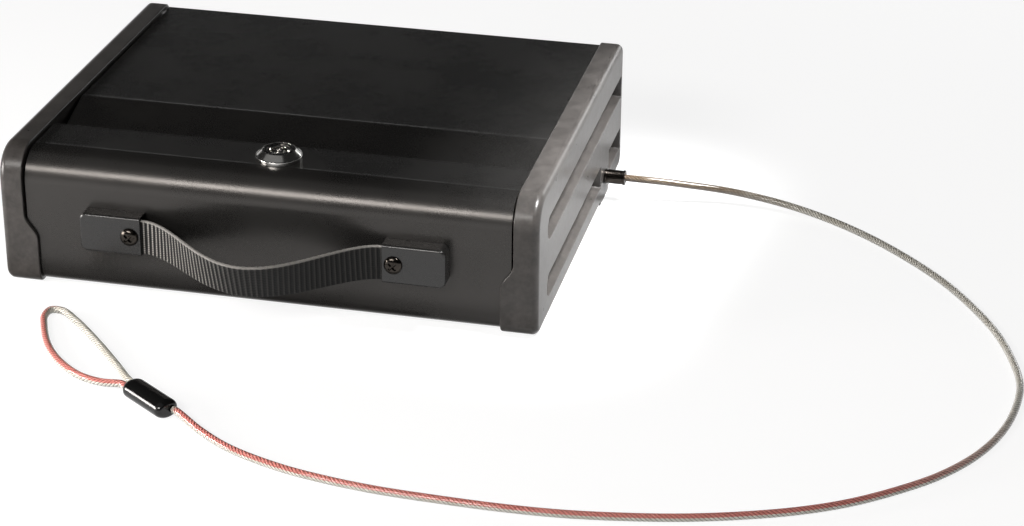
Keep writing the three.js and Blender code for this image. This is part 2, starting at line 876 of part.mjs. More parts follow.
function handleNut() {
  const y = front + sheet + seat;
  const nut = prism('y', hexagon(strapScrewX, coverCentre, strapNutFlats), y, y + strapNutHeight);
  const hole = circle(strapScrewX, coverCentre, strapScrewRadius + seat, 16);
  return cut(nut, prism('y', hole, y - 1, y + strapNutHeight + 1));
}

// Cable gland through the cap and the side wall, with its nut inside the box
function glandSleeve() {
  const bore = cableRadius + seat;
  const shoulder = halfWidth + seat;
  return turned('x', [
    [bore, shoulder - glandThreadLength],
    [glandThreadRadius, shoulder - glandThreadLength],
    [glandThreadRadius, shoulder],
    [glandRadius, shoulder],
    [glandRadius, shoulder + glandRim],
    [glandRadius - glandWaist, shoulder + glandRim],
    [glandRadius - glandWaist, glandEnd - glandRim],
    [glandRadius, glandEnd - glandRim],
    [glandRadius - glandChamfer, glandEnd],
    [bore, glandEnd],
    [bore, shoulder - glandThreadLength],
  ], [0, glandY, glandZ], 24);
}

function glandNut() {
  const face = plateInner - seat;
  const nut = prism('x', hexagon(glandY, glandZ, glandNutFlats), face - glandNutHeight, face);
  const hole = circle(glandY, glandZ, glandThreadRadius + seat, 24);
  return cut(nut, prism('x', hole, face - glandNutHeight - 1, face + 1));
}

// The cable's inner end with the stop that keeps it from being pulled out
function cableStop() {
  const stopEnd = halfWidth + seat - glandThreadLength - seat;
  return turned('x', [
    [0, stopEnd - stopLength - stopTail],
    [cableRadius, stopEnd - stopLength - stopTail],
    [cableRadius, stopEnd - stopLength],
    [stopRadius - stopChamfer, stopEnd - stopLength],
    [stopRadius, stopEnd - stopLength + stopChamfer],
    [stopRadius, stopEnd - stopChamfer],
    [stopRadius - stopChamfer, stopEnd],
    [cableRadius, stopEnd],
    [cableRadius, glandEnd - seat],
    [0, glandEnd - seat],
  ], [0, glandY, glandZ], 16);
}

// The cable lies on the resting plane at this height, and the ferrule holds its two strands
const laid = cableRadius + floorGap;
const ferruleMiddle = new THREE.Vector3(-24.2, -113.9, ferruleHeight / 2);
const ferruleAlong = new THREE.Vector3(0.808, -0.589, 0).normalize();
const ferruleAcross = new THREE.Vector3(-ferruleAlong.y, ferruleAlong.x, 0);

// A place measured from the ferrule's middle, along its length and across it
function byFerrule(along, across, z = ferruleMiddle.z) {
  const place = ferruleMiddle.clone().addScaledVector(ferruleAlong, along);
  return place.addScaledVector(ferruleAcross, across).setZ(z);
}

function tube(points, steps) {
  const path = new THREE.CatmullRomCurve3(points, false, 'centripetal');
  const section = new THREE.Shape(circle(0, 0, cableRadius, cableSides, Math.PI / cableSides));
  return new THREE.ExtrudeGeometry(section, { steps, extrudePath: path, bevelEnabled: false });
}

const straight = 2 * cableRadius;

function cable() {
  const exit = glandEnd + seat;
  const route = [
    [177.2, 187.2, 13.4], [191.4, 190.8, 11.4], [220.4, 195, 8], [250.2, 192.1, 5],
    [274.5, 183.6, 3.1], [299.1, 168.2, laid], [323.7, 145.8, laid], [348, 118.3, laid],
    [366, 91.3, laid], [381, 62.5, laid], [391.3, 32.7, laid], [396.7, 6.2, laid],
    [395.6, -20.9, laid], [389.7, -48.1, laid], [379.2, -72.7, laid], [364.2, -94.7, laid],
    [346.9, -112.2, laid], [325.2, -129.6, laid], [303.4, -142.2, laid], [277, -153.1, laid],
    [250.3, -161.3, laid], [223.3, -166.9, laid], [195.8, -170.7, laid], [167.7, -172, laid],
    [138.9, -171.6, laid], [109.6, -170.2, laid], [84.3, -166.9, laid], [57.8, -160.8, laid],
    [29.1, -149.2, laid], [10.4, -137.2, laid + 0.6],
  ].map((place) => new THREE.Vector3(...place));
  const end = ferruleLength / 2 + seat;
  return tube([
    new THREE.Vector3(exit, glandY, glandZ),
    new THREE.Vector3(exit + straight, glandY, glandZ),
    ...route,
    byFerrule(end + straight, ferruleStrand),
    byFerrule(end, ferruleStrand),
  ], cableSteps);
}

function cableLoop() {
  const end = -ferruleLength / 2 - seat;
  const route = [
    [-54.4, -80.6, laid], [-74.7, -57.5, laid], [-93.2, -38.5, laid], [-103.6, -30.2, laid],
    [-109.6, -30.6, laid], [-110.3, -38, laid], [-106.8, -47.8, laid], [-96.3, -68.5, laid],
    [-83.3, -84.7, laid], [-67.9, -96.5, laid], [-54.6, -101.2, laid + 0.5],
  ].map((place) => new THREE.Vector3(...place));
  return tube([
    byFerrule(end, ferruleStrand),
    byFerrule(end - straight, ferruleStrand),
    ...route,
    byFerrule(end - straight, -ferruleStrand),
    byFerrule(end, -ferruleStrand),
  ], loopSteps);
}

// The crimped ferrule: an oval sleeve pressed over both strands, its ends rounded over
function crimpFerrule() {
  const ends = [[-1, 0.78], [-0.93, 0.92], [-0.82, 1], [0.82, 1], [0.93, 0.92], [1, 0.78]];
  const rings = ends.map(([along, scale]) => (
    circle(0, 0, 1, ferruleSides).map((p) => {
      const across = (p.x * scale * ferruleWidth) / 2;
      const rise = (p.y * scale * ferruleHeight) / 2;
      return byFerrule((along * ferruleLength) / 2, across, ferruleMiddle.z + rise);
    })
  ));
  return sweep(rings);
}

function linerPad() {
  const z = bottom + sheet + seat;
  const reach = rimInner - linerInset;
  const outline = rectangle(-reach, front + foldRadius, reach, rear - foldRadius, linerCorner);
  return prism('z', rounded(outline), z, z + linerThickness);
}

const finishes = {
  bodyPaint: { color: 0x2a2a29, roughness: 0.42, metalness: 0.1 },
  capPlastic: { color: 0x55514d, roughness: 0.38, metalness: 0 },
  zincSteel: { color: 0x9b9d9c, roughness: 0.4, metalness: 1 },
  chrome: { color: 0xd8d8d6, roughness: 0.12, metalness: 1 },
  darkMetal: { color: 0x2e2b27, roughness: 0.25, metalness: 1 },
  coverPlastic: { color: 0x161615, roughness: 0.25, metalness: 0 },
  webbing: { color: 0x1c1b1a, roughness: 0.85, metalness: 0 },
  foam: { color: 0x2b2b2d, roughness: 0.95, metalness: 0 },
  cableJacket: { color: 0x8c8478, roughness: 0.3, metalness: 0.6 },
  ferruleSleeve: { color: 0x0c0c0d, roughness: 0.2, metalness: 0 },
};

const safe = new THREE.Group();
safe.position.y = -middleY;

function add(name, geometry, finish) {
  const mesh = new THREE.Mesh(welded(geometry), new THREE.MeshStandardMaterial(finishes[finish]));
  mesh.geometry.computeVertexNormals();
  mesh.name = name;
  safe.add(mesh);
}

const walls = sideWall();
const cover = handleCover();
const handleScrewRight = handleScrew();
const handleNutRight = handleNut();

add('body_shell', bodyShell(), 'bodyPaint');
add('side_wall_left', walls.left, 'bodyPaint');
add('side_wall_right', walls.right, 'bodyPaint');
add('left_end_cap', endCap(false), 'capPlastic');
add('right_end_cap', endCap(true), 'capPlastic');
capScrewPlaces().forEach(([y, z], i) => {
  const screw = capScrew(y, z);
  add(`cap_screw_left_${i + 1}`, mirrored(screw), 'zincSteel');
  add(`cap_screw_right_${i + 1}`, screw, 'zincSteel');
});
add('hinge_body_leaf', hingeBodyLeaf(), 'bodyPaint');
add('hinge_lid_leaf', hingeLidLeaf(), 'bodyPaint');
add('hinge_pin', hingePin(), 'zincSteel');
add('liner_pad', linerPad(), 'foam');
add('lock_collar', lockCollar(), 'chrome');
add('lock_housing', lockHousing(), 'darkMetal');
add('lock_nut', lockNut(), 'zincSteel');
add('lock_plug', lockPlug(), 'chrome');
add('lock_cam', lockCam(), 'zincSteel');
add('cam_screw', camScrew(), 'zincSteel');
add('lid_panel', lidPanel(), 'bodyPaint');
add('lid_catch', lidCatch(), 'bodyPaint');
add('handle_cover_left', mirrored(cover), 'coverPlastic');
add('handle_cover_right', cover, 'coverPlastic');
add('strap', strap(), 'webbing');
add('handle_screw_left', mirrored(handleScrewRight), 'darkMetal');
add('handle_screw_right', handleScrewRight, 'darkMetal');
add('handle_nut_left', mirrored(handleNutRight), 'zincSteel');
add('handle_nut_right', handleNutRight, 'zincSteel');
add('gland_sleeve', glandSleeve(), 'darkMetal');
add('gland_nut', glandNut(), 'zincSteel');
add('cable_stop', cableStop(), 'zincSteel');
add('cable', cable(), 'cableJacket');
add('cable_loop', cableLoop(), 'cableJacket');
add('crimp_ferrule', crimpFerrule(), 'ferruleSleeve');

export default safe;
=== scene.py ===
# %% [markdown]
# # A portable car safe
# A low steel box with a hinged lid sits between two moulded end caps. A webbing strap is screwed
# to its front, a tubular lock stands on its top, and a steel tether leaves through the right cap.
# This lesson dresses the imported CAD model: every piece is placed by the model's own frame, and
# each visible surface is worked out again with finer curves and a finish of its own.

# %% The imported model
import json
import math

import bmesh
import bpy
import numpy as np
from mathutils import Matrix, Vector
from mathutils.geometry import delaunay_2d_cdt


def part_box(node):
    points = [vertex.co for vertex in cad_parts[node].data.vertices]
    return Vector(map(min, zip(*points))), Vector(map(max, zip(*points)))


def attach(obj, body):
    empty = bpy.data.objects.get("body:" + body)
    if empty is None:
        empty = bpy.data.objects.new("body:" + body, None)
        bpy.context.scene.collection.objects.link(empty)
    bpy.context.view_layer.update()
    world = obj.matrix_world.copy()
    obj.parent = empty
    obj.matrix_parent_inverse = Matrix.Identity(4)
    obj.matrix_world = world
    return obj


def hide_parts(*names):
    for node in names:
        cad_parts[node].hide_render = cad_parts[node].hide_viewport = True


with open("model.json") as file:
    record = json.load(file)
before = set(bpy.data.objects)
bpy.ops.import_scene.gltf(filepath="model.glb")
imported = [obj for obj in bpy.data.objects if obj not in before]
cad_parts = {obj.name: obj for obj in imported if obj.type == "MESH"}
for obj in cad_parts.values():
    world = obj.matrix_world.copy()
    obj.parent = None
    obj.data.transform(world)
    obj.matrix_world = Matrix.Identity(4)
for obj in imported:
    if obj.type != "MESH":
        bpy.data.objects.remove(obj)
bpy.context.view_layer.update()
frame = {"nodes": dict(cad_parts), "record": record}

# %% [markdown]
# The sizes below are in millimetres, measured from the caps' front plane, the safe's middle and
# the floor, as on a workshop drawing. One function turns them into the frame's metres.

# %% Millimetres to the frame
caps_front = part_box("left_end_cap")[0].y


def place(points):
    """Metres in the frame: millimetres times 0.001, with y counted from the caps' front."""
    return np.asarray(points, float) * 0.001 + np.array([0.0, caps_front, 0.0])


print("caps' front at y", round(caps_front, 6))

# %% [markdown]
# The camera was fitted to the photograph's straight edges. It stands to the right of the front,
# about twenty six degrees up and rather far away, with a long lens, so the box looks nearly
# parallel.

# %% Camera
def unit(vectors):
    """Directions: each vector divided by its own length."""
    vectors = np.asarray(vectors, float)
    return vectors / np.linalg.norm(vectors, axis=-1, keepdims=True)


def linked(data):
    """An object in the scene that shows the data, under the data's name."""
    made = bpy.data.objects.new(data.name, data)
    bpy.context.collection.objects.link(made)
    return made


def aim(made, right, up, back, spot):
    """Stands an object at a spot. The three directions are its x, y and z, and it looks along -z."""
    rows = [[*axes, at] for axes, at in zip(zip(right, up, back), spot)]
    made.matrix_world = Matrix([*rows, [0.0, 0.0, 0.0, 1.0]])


azimuth, elevation, roll = (math.radians(angle) for angle in (12.509, 25.808, 0.525))
back = np.array([math.sin(azimuth) * math.cos(elevation), -math.cos(azimuth) * math.cos(elevation),
                 math.sin(elevation)])
level = unit(np.cross([0.0, 0.0, 1.0], back))
upright = np.cross(back, level)
spot = place([397.5, -1186.89, 631.32])
camera = linked(bpy.data.cameras.new("camera"))
camera.data.sensor_width = 36.0
camera.data.sensor_fit = "HORIZONTAL"
camera.data.lens = 91.88
camera.data.clip_start = 0.05
camera.data.clip_end = 60.0
aim(camera, math.cos(roll) * level + math.sin(roll) * upright,
    math.cos(roll) * upright - math.sin(roll) * level, back, spot)
bpy.context.scene.camera = camera
print("camera at", spot.round(4))

# %% [markdown]
# Every surface here is a grid: rows of points that are joined to their neighbours by quads. Where
# a seam or a pole closes, its points coincide and are merged, so each shell is watertight. Two
# small modifiers finish a piece: a bevel that breaks its sharp edges, and normals weighted by
# face area, so flat faces stay flat beside a round.

# %% Grids and pieces
def grid_faces(rows, columns, close_rows=False, close_columns=False):
    """Quads between neighbouring rows and columns of points that are numbered row by row."""
    r = np.arange(rows if close_rows else rows - 1)[:, None]
    c = np.arange(columns if close_columns else columns - 1)[None]
    after = (c + 1) % columns
    above = ((r + 1) % rows) * columns
    return np.stack([r * columns + c, r * columns + after, above + after, above + c], -1).reshape(-1, 4)


def lofted(rows, first=False, last=False):
    """Closed rows of points, each joined to the next, with a face over either end if asked."""
    count = len(rows[0])
    faces = grid_faces(len(rows), count, close_columns=True).tolist()
    if first:
        faces.append(list(range(count)))
    if last:
        faces.append([i + (len(rows) - 1) * count for i in range(count)])
    return np.vstack(rows), faces


def joined(*shells):
    """Several (points, faces) shells as one: the points in a row, the faces numbered on."""
    points, faces, count = [], [], 0
    for shell_points, shell_faces in shells:
        points.append(np.asarray(shell_points, float).reshape(-1, 3))
        faces += [[int(i) + count for i in face] for face in shell_faces]
        count += len(points[-1])
    return np.vstack(points), faces


def mirrored(shell):
    """The shell on the safe's other side: x changes its sign."""
    points, faces = shell
    return np.asarray(points) * [-1.0, 1.0, 1.0], faces


def both_sides(shell):
    """A right-hand shell and its mirror image, with the side's name."""
    return ("right", shell), ("left", mirrored(shell))


dressed = []


def piece(name, shell, body, nodes, slot, edge=0.0, uv=None, sharp=38.0):
    """A mesh object on a body, in place of CAD nodes. Edge is the width of its broken edges."""
    points, faces = shell
    mesh = bpy.data.meshes.new(name)
    mesh.from_pydata(place(points).tolist(), [], [[int(i) for i in face] for face in faces])
    if uv is not None:
        corner = np.empty(len(mesh.loops), dtype=np.int32)
        mesh.loops.foreach_get("vertex_index", corner)
        layer = mesh.uv_layers.new(name="surface")
        layer.data.foreach_set("uv", np.asarray(uv, np.float32)[corner].ravel())
    work = bmesh.new()
    work.from_mesh(mesh)
    bmesh.ops.remove_doubles(work, verts=work.verts, dist=2e-6)
    bmesh.ops.recalc_face_normals(work, faces=work.faces)
    work.to_mesh(mesh)
    work.free()
    mesh.shade_smooth()
    mesh.set_sharp_from_angle(angle=math.radians(sharp))
    made = linked(mesh)
    if edge:
        bevel = made.modifiers.new("broken edges", "BEVEL")
        bevel.width = edge * 0.001
        bevel.segments = 2
        bevel.angle_limit = math.radians(50)
    flat = made.modifiers.new("flat faces", "WEIGHTED_NORMAL")
    flat.keep_sharp = True
    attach(made, body)
    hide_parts(*nodes)
    dressed.append((made, slot))
    print(name, len(mesh.vertices), "points")
    return made


# %% [markdown]
# ## The tether
# The tether is a steel braid in a clear jacket, four millimetres thick. It is stiff enough to lie
# in wide curves. Its route is a smooth line through points on the floor, and the tube's rings
# stand across that line, so the braid's pattern can follow the length through the tube's own UV.

# %% Route of a cord
def along_line(line):
    """The length of the line up to each of its points."""
    return np.concatenate([[0.0], np.cumsum(np.linalg.norm(np.diff(line, axis=0), axis=1))])


def smooth_route(points, step=1.6):
    """A centripetal Catmull-Rom line. Each stretch is a cubic that leaves and reaches its points
    with slopes weighted by the square roots of the chords, resampled at an even step."""
    p = np.asarray(points, float)
    p = np.vstack([2 * p[0] - p[1], p, 2 * p[-1] - p[-2]])
    a, b, c, d = p[:-3], p[1:-2], p[2:-1], p[3:]
    ab, bc, cd = (np.sqrt(np.linalg.norm(v - u, axis=1))[:, None] for u, v in ((a, b), (b, c), (c, d)))
    leave = ((b - a) / ab - (c - a) / (ab + bc) + (c - b) / bc) * bc
    reach = ((c - b) / bc - (d - b) / (bc + cd) + (d - c) / cd) * bc
    t = np.linspace(0.0, 1.0, 40, endpoint=False)[:, None, None]
    curve = ((2 * t ** 3 - 3 * t ** 2 + 1) * b + (t ** 3 - 2 * t ** 2 + t) * leave
             + (3 * t ** 2 - 2 * t ** 3) * c + (t ** 3 - t ** 2) * reach)
    line = np.vstack([curve.transpose(1, 0, 2).reshape(-1, 3), p[-2]])
    along = along_line(line)
    even = np.linspace(0.0, along[-1], int(along[-1] / step) + 1)
    return np.column_stack([np.interp(even, along, line[:, k]) for k in range(3)]), even


def cord_tube(line, along, radius, sides=20):
    """Rings of points across the line: its level side times cosine plus its upper side times sine.
    U goes round from the level side, and v is the length along in metres."""
    forward = unit(np.gradient(line, axis=0))
    side = unit(np.cross(forward, [0.0, 0.0, 1.0]))
    upper = np.cross(side, forward)
    share = np.linspace(0.0, 1.0, sides + 1)
    turn = 2 * np.pi * share[None, :, None]
    rings = line[:, None] + radius * (np.cos(turn) * side[:, None] + np.sin(turn) * upper[:, None])
    uv = np.stack(np.broadcast_arrays(share[None, :], along[:, None] * 0.001), -1)
    ends = [np.repeat(line[k][None, None], sides + 1, axis=1) for k in (0, -1)]
    rings = np.concatenate([ends[0], rings, ends[1]])
    uv = np.concatenate([uv[:1], uv, uv[-1:]])
    return (rings.reshape(-1, 3), grid_faces(len(rings), sides + 1)), uv.reshape(-1, 2)


cable_radius = 2.0
laid = 2.2
gland_exit = [160.3, 185.0, 14.5]
ferrule_middle = np.array([-24.2, -113.9, 4.2])
ferrule_along = unit([0.808, -0.589, 0.0])
ferrule_across = np.array([-ferrule_along[1], ferrule_along[0], 0.0])


def by_ferrule(along, across):
    """A place counted along the crimp ferrule and across it, at the height of its middle."""
    return (ferrule_middle + ferrule_along * along + ferrule_across * across).tolist()


cable_points = [
    gland_exit, [164.3, 185.0, 14.5], [177.2, 187.2, 13.4], [191.4, 190.8, 11.4],
    [220.4, 195.0, 8.0], [250.2, 192.1, 5.0], [274.5, 183.6, 3.1], [299.1, 168.2, laid],
    [323.7, 145.8, laid], [348.0, 118.3, laid], [366.0, 91.3, laid], [381.0, 62.5, laid],
    [391.3, 32.7, laid], [396.7, 6.2, laid], [395.6, -20.9, laid], [389.7, -48.1, laid],
    [379.2, -72.7, laid], [364.2, -94.7, laid], [346.9, -112.2, laid], [325.2, -129.6, laid],
    [303.4, -142.2, laid], [277.0, -153.1, laid], [250.3, -161.3, laid], [223.3, -166.9, laid],
    [195.8, -170.7, laid], [167.7, -172.0, laid], [138.9, -171.6, laid], [109.6, -170.2, laid],
    [84.3, -166.9, laid], [57.8, -160.8, laid], [29.1, -149.2, laid], [10.4, -137.2, laid + 0.6],
    by_ferrule(21.3, 2.4), by_ferrule(17.3, 2.4),
]
loop_points = [
    by_ferrule(-17.3, 2.4), by_ferrule(-21.3, 2.4), [-54.4, -80.6, laid], [-74.7, -57.5, laid],
    [-93.2, -38.5, laid], [-103.6, -30.2, laid], [-109.6, -30.6, laid], [-110.3, -38.0, laid],
    [-106.8, -47.8, laid], [-96.3, -68.5, laid], [-83.3, -84.7, laid], [-67.9, -96.5, laid],
    [-54.6, -101.2, laid + 0.5], by_ferrule(-21.3, -2.4), by_ferrule(-17.3, -2.4),
]

# %% [markdown]
# Both cords are tubes swept along their routes. The tether leaves the gland, swings round and
# ends in the crimp, and the loop leaves the crimp and comes back to it beside the tether.

# %% Tether cable and its loop
cable_line, cable_along = smooth_route(cable_points)
shell, uv = cord_tube(cable_line, cable_along, cable_radius)
cable = piece("tether_cable", shell, "body", ["cable"], "cable_steel", uv=uv, sharp=60)

loop_line, loop_along = smooth_route(loop_points, step=1.0)
shell, uv = cord_tube(loop_line, loop_along + cable_along[-1], cable_radius)
uv[:, 0] = 0.5 - uv[:, 0]
cable_loop = piece("tether_loop", shell, "body", ["cable_loop"], "cable_steel", uv=uv, sharp=60)
print("tether", round(cable_along[-1]), "mm and loop", round(loop_along[-1]), "mm")

# %% [markdown]
# ## Rounded outlines
# A bent sheet and a moulding are both drawn as corners with radii. An outline can be moved
# sideways while its rounds keep their centres, which gives sheet thickness, walls and fillets.

# %% Corners, rounds and offsets
def heading(start, end):
    """The direction from one corner to the next."""
    step = np.subtract(end[:2], start[:2])
    return step / np.hypot(*step)


def rounded(corners, closed=True, steps=8):
    """A line through corners (a, b, radius): each corner is an arc that touches both its sides."""
    count = len(corners)
    line = []
    for i, corner in enumerate(corners):
        here = np.array(corner[:2], float)
        if not closed and i in (0, count - 1):
            line.append(here[None])
            continue
        radius = [*corner, 0.0][2]
        into = heading(corners[i - 1], corner)
        away = heading(corner, corners[(i + 1) % count])
        bend = math.atan2(into[0] * away[1] - into[1] * away[0], into @ away)
        start = here - into * radius * math.tan(abs(bend) / 2)
        centre = start + np.array([-into[1], into[0]]) * math.copysign(radius, bend)
        arm = start - centre
        turn = bend * np.linspace(0.0, 1.0, steps + 1)[:, None]
        line.append(centre + arm * np.cos(turn) + np.array([-arm[1], arm[0]]) * np.sin(turn))
    return np.vstack(line)


def moved(corners, distance, closed=True):
    """The corners shifted to the left of the line, with each round kept on its centre."""
    count = len(corners)
    result = []
    for i, corner in enumerate(corners):
        first, last = not closed and i == 0, not closed and i == count - 1
        into = heading(corner, corners[1]) if first else heading(corners[i - 1], corner)
        away = into if last else heading(corner, corners[(i + 1) % count])
        normal = np.array([-into[1] - away[1], into[0] + away[0]]) * distance / (1 + into @ away)
        side = np.sign(into[0] * away[1] - into[1] * away[0])
        radius = [*corner, 0.0][2]
        radius = max(radius - side * distance, 0.0) if radius else 0.0
        result.append([corner[0] + normal[0], corner[1] + normal[1], radius])
    return result


def stationed(corners, shares, steps=8):
    """A closed rounded outline with more points on its straight sides, at shares[i] of side i."""
    arcs = rounded(corners, True, steps).reshape(len(corners), steps + 1, 2)
    parts = []
    for i, share in enumerate(shares):
        start, end = arcs[i, -1], arcs[(i + 1) % len(corners), 0]
        parts += [arcs[i], start + np.outer(share, end - start)]
    return np.vstack(parts)


def quarter(count):
    """Pairs of 1 - sine and 1 - cosine over a quarter turn, the two insets that round an edge."""
    angle = np.linspace(0.0, np.pi / 2, count)
    return list(zip(1 - np.sin(angle), 1 - np.cos(angle)))


def at_x(x, loop):
    """A loop of (y, z) points at one place along x, or each point at a place of its own."""
    return np.column_stack([np.broadcast_to(x, len(loop)), loop])


print("a rounded square has", len(rounded([[0, 0, 1], [9, 0, 1], [9, 9, 1], [0, 9, 1]])), "points")

# %% [markdown]
# ## End caps
# Each cap is one moulding of charcoal plastic that closes the folded box and carries its feet.
# Its outline is a box with a large nose at the front, its outer edge is rounded over, and its
# flat side has two long recesses. Low on the front and rear a foot laps round the steel, cut back
# above by an S curve. A cap could be carved with booleans, but rows of the same outline, each
# moved in by its fillet, give clean highlights and no stray triangles.

# %% Sizes of the caps
half_width, cap_inner, body_half = 148.0, 134.6, 133.5
cap_fillet, cap_edge, seat = 4.0, 0.7, 0.3
cap_corners = [[0, 0, 8], [238, 0, 8], [238, 78, 5], [0, 78, 17.5]]
body_corners = [[2, 4, 8], [231.3, 4, 8], [231.3, 75.5, 2.2], [2, 75.5, 16.6]]
lobe_low, lobe_high, lobe_reach, lobe_round = 27.0, 41.5, 6.9, 2.5
recess_front, recess_rear, recess_height, recess_nose, recess_corner = 24.0, 232.0, 13.2, 6.3, 0.8
upper_recess, lower_recess = 45.4, 12.1
recess_depth, recess_draft, recess_lip, recess_fillet = 6.0, 0.9, 0.5, 0.9
pilaster_front, pilaster_rear, pilaster_bottom = 173.0, 197.0, 0.8


def lobe_inner(z):
    """Where the cap's inner edge lies at a height: the lobe's reach low down, then an S curve of
    half a cosine wave back to the cap, and a small round at the very bottom."""
    share = np.clip((z - lobe_low) / (lobe_high - lobe_low), 0.0, 1.0)
    foot = np.clip(lobe_round - z, 0.0, lobe_round)
    turn_in = lobe_round - np.sqrt(lobe_round ** 2 - foot ** 2)
    return cap_inner - lobe_reach + lobe_reach * (1 - np.cos(np.pi * share)) / 2 + turn_in


# %% [markdown]
# The outline gets more points where the gland's square and the S curves need them. A side's
# points are shares of the straight part between its two rounds: the bottom's runs from 8 to 230,
# the rear's from 8 up to 73, and the front's from 60.5 down to 8.

# %% Points on the caps' sides
curve_heights = np.linspace(lobe_low, lobe_high, 13)
cap_shares = [
    (np.array([pilaster_front, pilaster_front, pilaster_rear, pilaster_rear]) - 8) / 222,
    (curve_heights - 8) / 65,
    [],
    (60.5 - curve_heights[::-1]) / 52.5,
]
first_pilaster = 9 + 1
print(sum(len(shares) for shares in cap_shares), "points on the sides")

# %% [markdown]
# The cap's flat side has a round-cornered outline and long holes for its recesses. A constrained
# Delaunay mesh of those loops fills just the part between them and uses only their own points.

# %% Faces with holes
def within(points, loop):
    """Which points lie in a loop, by counting the loop's edges that each point's ray crosses."""
    a, b = loop, np.roll(loop, -1, axis=0)
    y = points[:, 1][:, None]
    spans = (a[:, 1] > y) != (b[:, 1] > y)
    rise = np.where(b[:, 1] == a[:, 1], 1.0, b[:, 1] - a[:, 1])
    crossing = a[:, 0] + (y - a[:, 1]) / rise * (b[:, 0] - a[:, 0])
    return (spans & (points[:, 0][:, None] < crossing)).sum(axis=1) % 2 == 1


def flat_face(x, outer, holes):
    """A plane at x inside the outer loop and outside the holes, in triangles on their points."""
    edges, start = [], 0
    for loop in (outer, *holes):
        order = np.arange(len(loop)) + start
        edges += list(zip(order.tolist(), np.roll(order, -1).tolist()))
        start += len(loop)
    flat = np.vstack([outer, *holes]).tolist()
    points, _, triangles, *_ = delaunay_2d_cdt(flat, edges, [], 0, 1e-6)
    points, triangles = np.array([[*p] for p in points]), np.array(triangles)
    middles = points[triangles].mean(axis=1)
    keep = within(middles, outer)
    for hole in holes:
        keep &= ~within(middles, hole)
    return at_x(x, points), triangles[keep]


# %% [markdown]
# Each recess is a pocket with a rolled lip, slightly drafted walls as a moulding tool needs, and a
# small fillet at its floor. Its rows are one outline moved inwards step by step.

# %% Recesses
def recess_shell(y_front, y_rear, z, nose):
    """A recess and its mouth: its outline rolls over the lip, goes down the drafted wall and ends
    in a floor."""
    top = z + recess_height
    mouth = [[y_front, z, nose], [y_rear, z, recess_corner], [y_rear, top, recess_corner],
             [y_front, top, nose]]
    floor = half_width - recess_depth
    foot = recess_draft * (recess_depth - recess_fillet) / recess_depth
    rows = [(half_width - recess_lip * run, -recess_lip * rise) for rise, run in quarter(5)]
    rows += [(floor + recess_fillet * rise, foot + recess_fillet * run) for rise, run in quarter(5)]
    rows = [at_x(x, rounded(moved(mouth, inset))) for x, inset in rows]
    return lofted(rows, last=True), rows[0][:, 1:]


# %% [markdown]
# The cap is lofted from such rows, from its lap on the steel to its flat side. On the right cap a
# plain square stands in the lower recess for the gland, so the recess is split in two there.

# %% Cap surface
def cap_shell(with_gland):
    """Rows round the cap: in its lap on the steel, over the inner edge, across the band and over
    the outer fillet. The flat side and the recesses close it outside, and a plane inside."""
    lap = stationed(moved(body_corners, -seat), cap_shares)
    rows = [at_x(cap_inner, lap), at_x(lobe_inner(lap[:, 1]), lap)]
    for rise, run in quarter(5):
        loop = stationed(moved(cap_corners, cap_edge * rise), cap_shares)
        rows.append(at_x(lobe_inner(loop[:, 1]) + cap_edge * run, loop))
    for rise, run in quarter(11):
        loop = stationed(moved(cap_corners, cap_fillet * run), cap_shares)
        if with_gland:
            square = slice(first_pilaster, first_pilaster + 2)
            loop[square, 1] = np.minimum(loop[square, 1], pilaster_bottom)
        rows.append(at_x(half_width - cap_fillet * rise, loop))
    spans = [(recess_front, recess_rear, upper_recess, recess_nose)]
    if with_gland:
        spans += [(recess_front, pilaster_front, lower_recess, recess_nose),
                  (pilaster_rear, recess_rear, lower_recess, recess_corner)]
    else:
        spans += [(recess_front, recess_rear, lower_recess, recess_nose)]
    recesses = [recess_shell(*span) for span in spans]
    side = flat_face(half_width, rows[-1][:, 1:], [mouth for _, mouth in recesses])
    return joined(lofted(rows, first=True), side, *[shell for shell, _ in recesses])


piece("end_cap_right_moulding", cap_shell(True), "body", ["right_end_cap"], "cap_plastic")
piece("end_cap_left_moulding", mirrored(cap_shell(False)), "body", ["left_end_cap"], "cap_plastic")

# %% [markdown]
# ## Folded steel
# The body is one sheet, 1.2 mm thick: a flange down into the groove, a strip across the top, a
# round nose, the front, the floor and the rear wall. The lid is a second sheet with a ten degree
# slope that drops into the groove. Both are a bent line with its second face a thickness away,
# drawn out along x, which keeps the sheet's thickness true in every bend.

# %% Folded sheets
sheet = 1.2
strip_z = 75.5
flange_end = 131.1
hem_end = 127.4


def folded(line, thickness, half, levels):
    """A sheet's section drawn along x: one face of the line, then the other face back, at each
    level. A level is a share of the half width, which may change along the section."""
    outer = rounded(line, False)
    section = np.vstack([outer, rounded(moved(line, thickness, False), False)[::-1]])
    halves = np.array([half(y, z) for y, z in outer])
    halves = np.concatenate([halves, halves[::-1]])
    points, faces = lofted([at_x(share * halves, section) for share in levels])
    count = len(section)
    pairs = np.arange(len(outer) - 1)
    ends = np.stack([pairs, pairs + 1, count - 2 - pairs, count - 1 - pairs], -1)
    return points, faces + ends.tolist() + (ends + len(points) - count).tolist()


def flange_half(y, z):
    """The flange in the groove is cut shorter than the sheet at each end, and the hem low on the
    front ends between the caps' lobes."""
    if z < 9.1 and y < 20.1:
        return hem_end
    return flange_end if z < strip_z - 0.01 and 40 < y < 60 else body_half


# %% [markdown]
# The lock stands in a round hole in the top strip. A boolean would leave long thin triangles in a
# strip that shows a highlight, so a ring of quads joins the grid to the circle instead.

# %% Hole for the lock
lock_y = 31.0
hole_radius = 8.3
window = 12.4


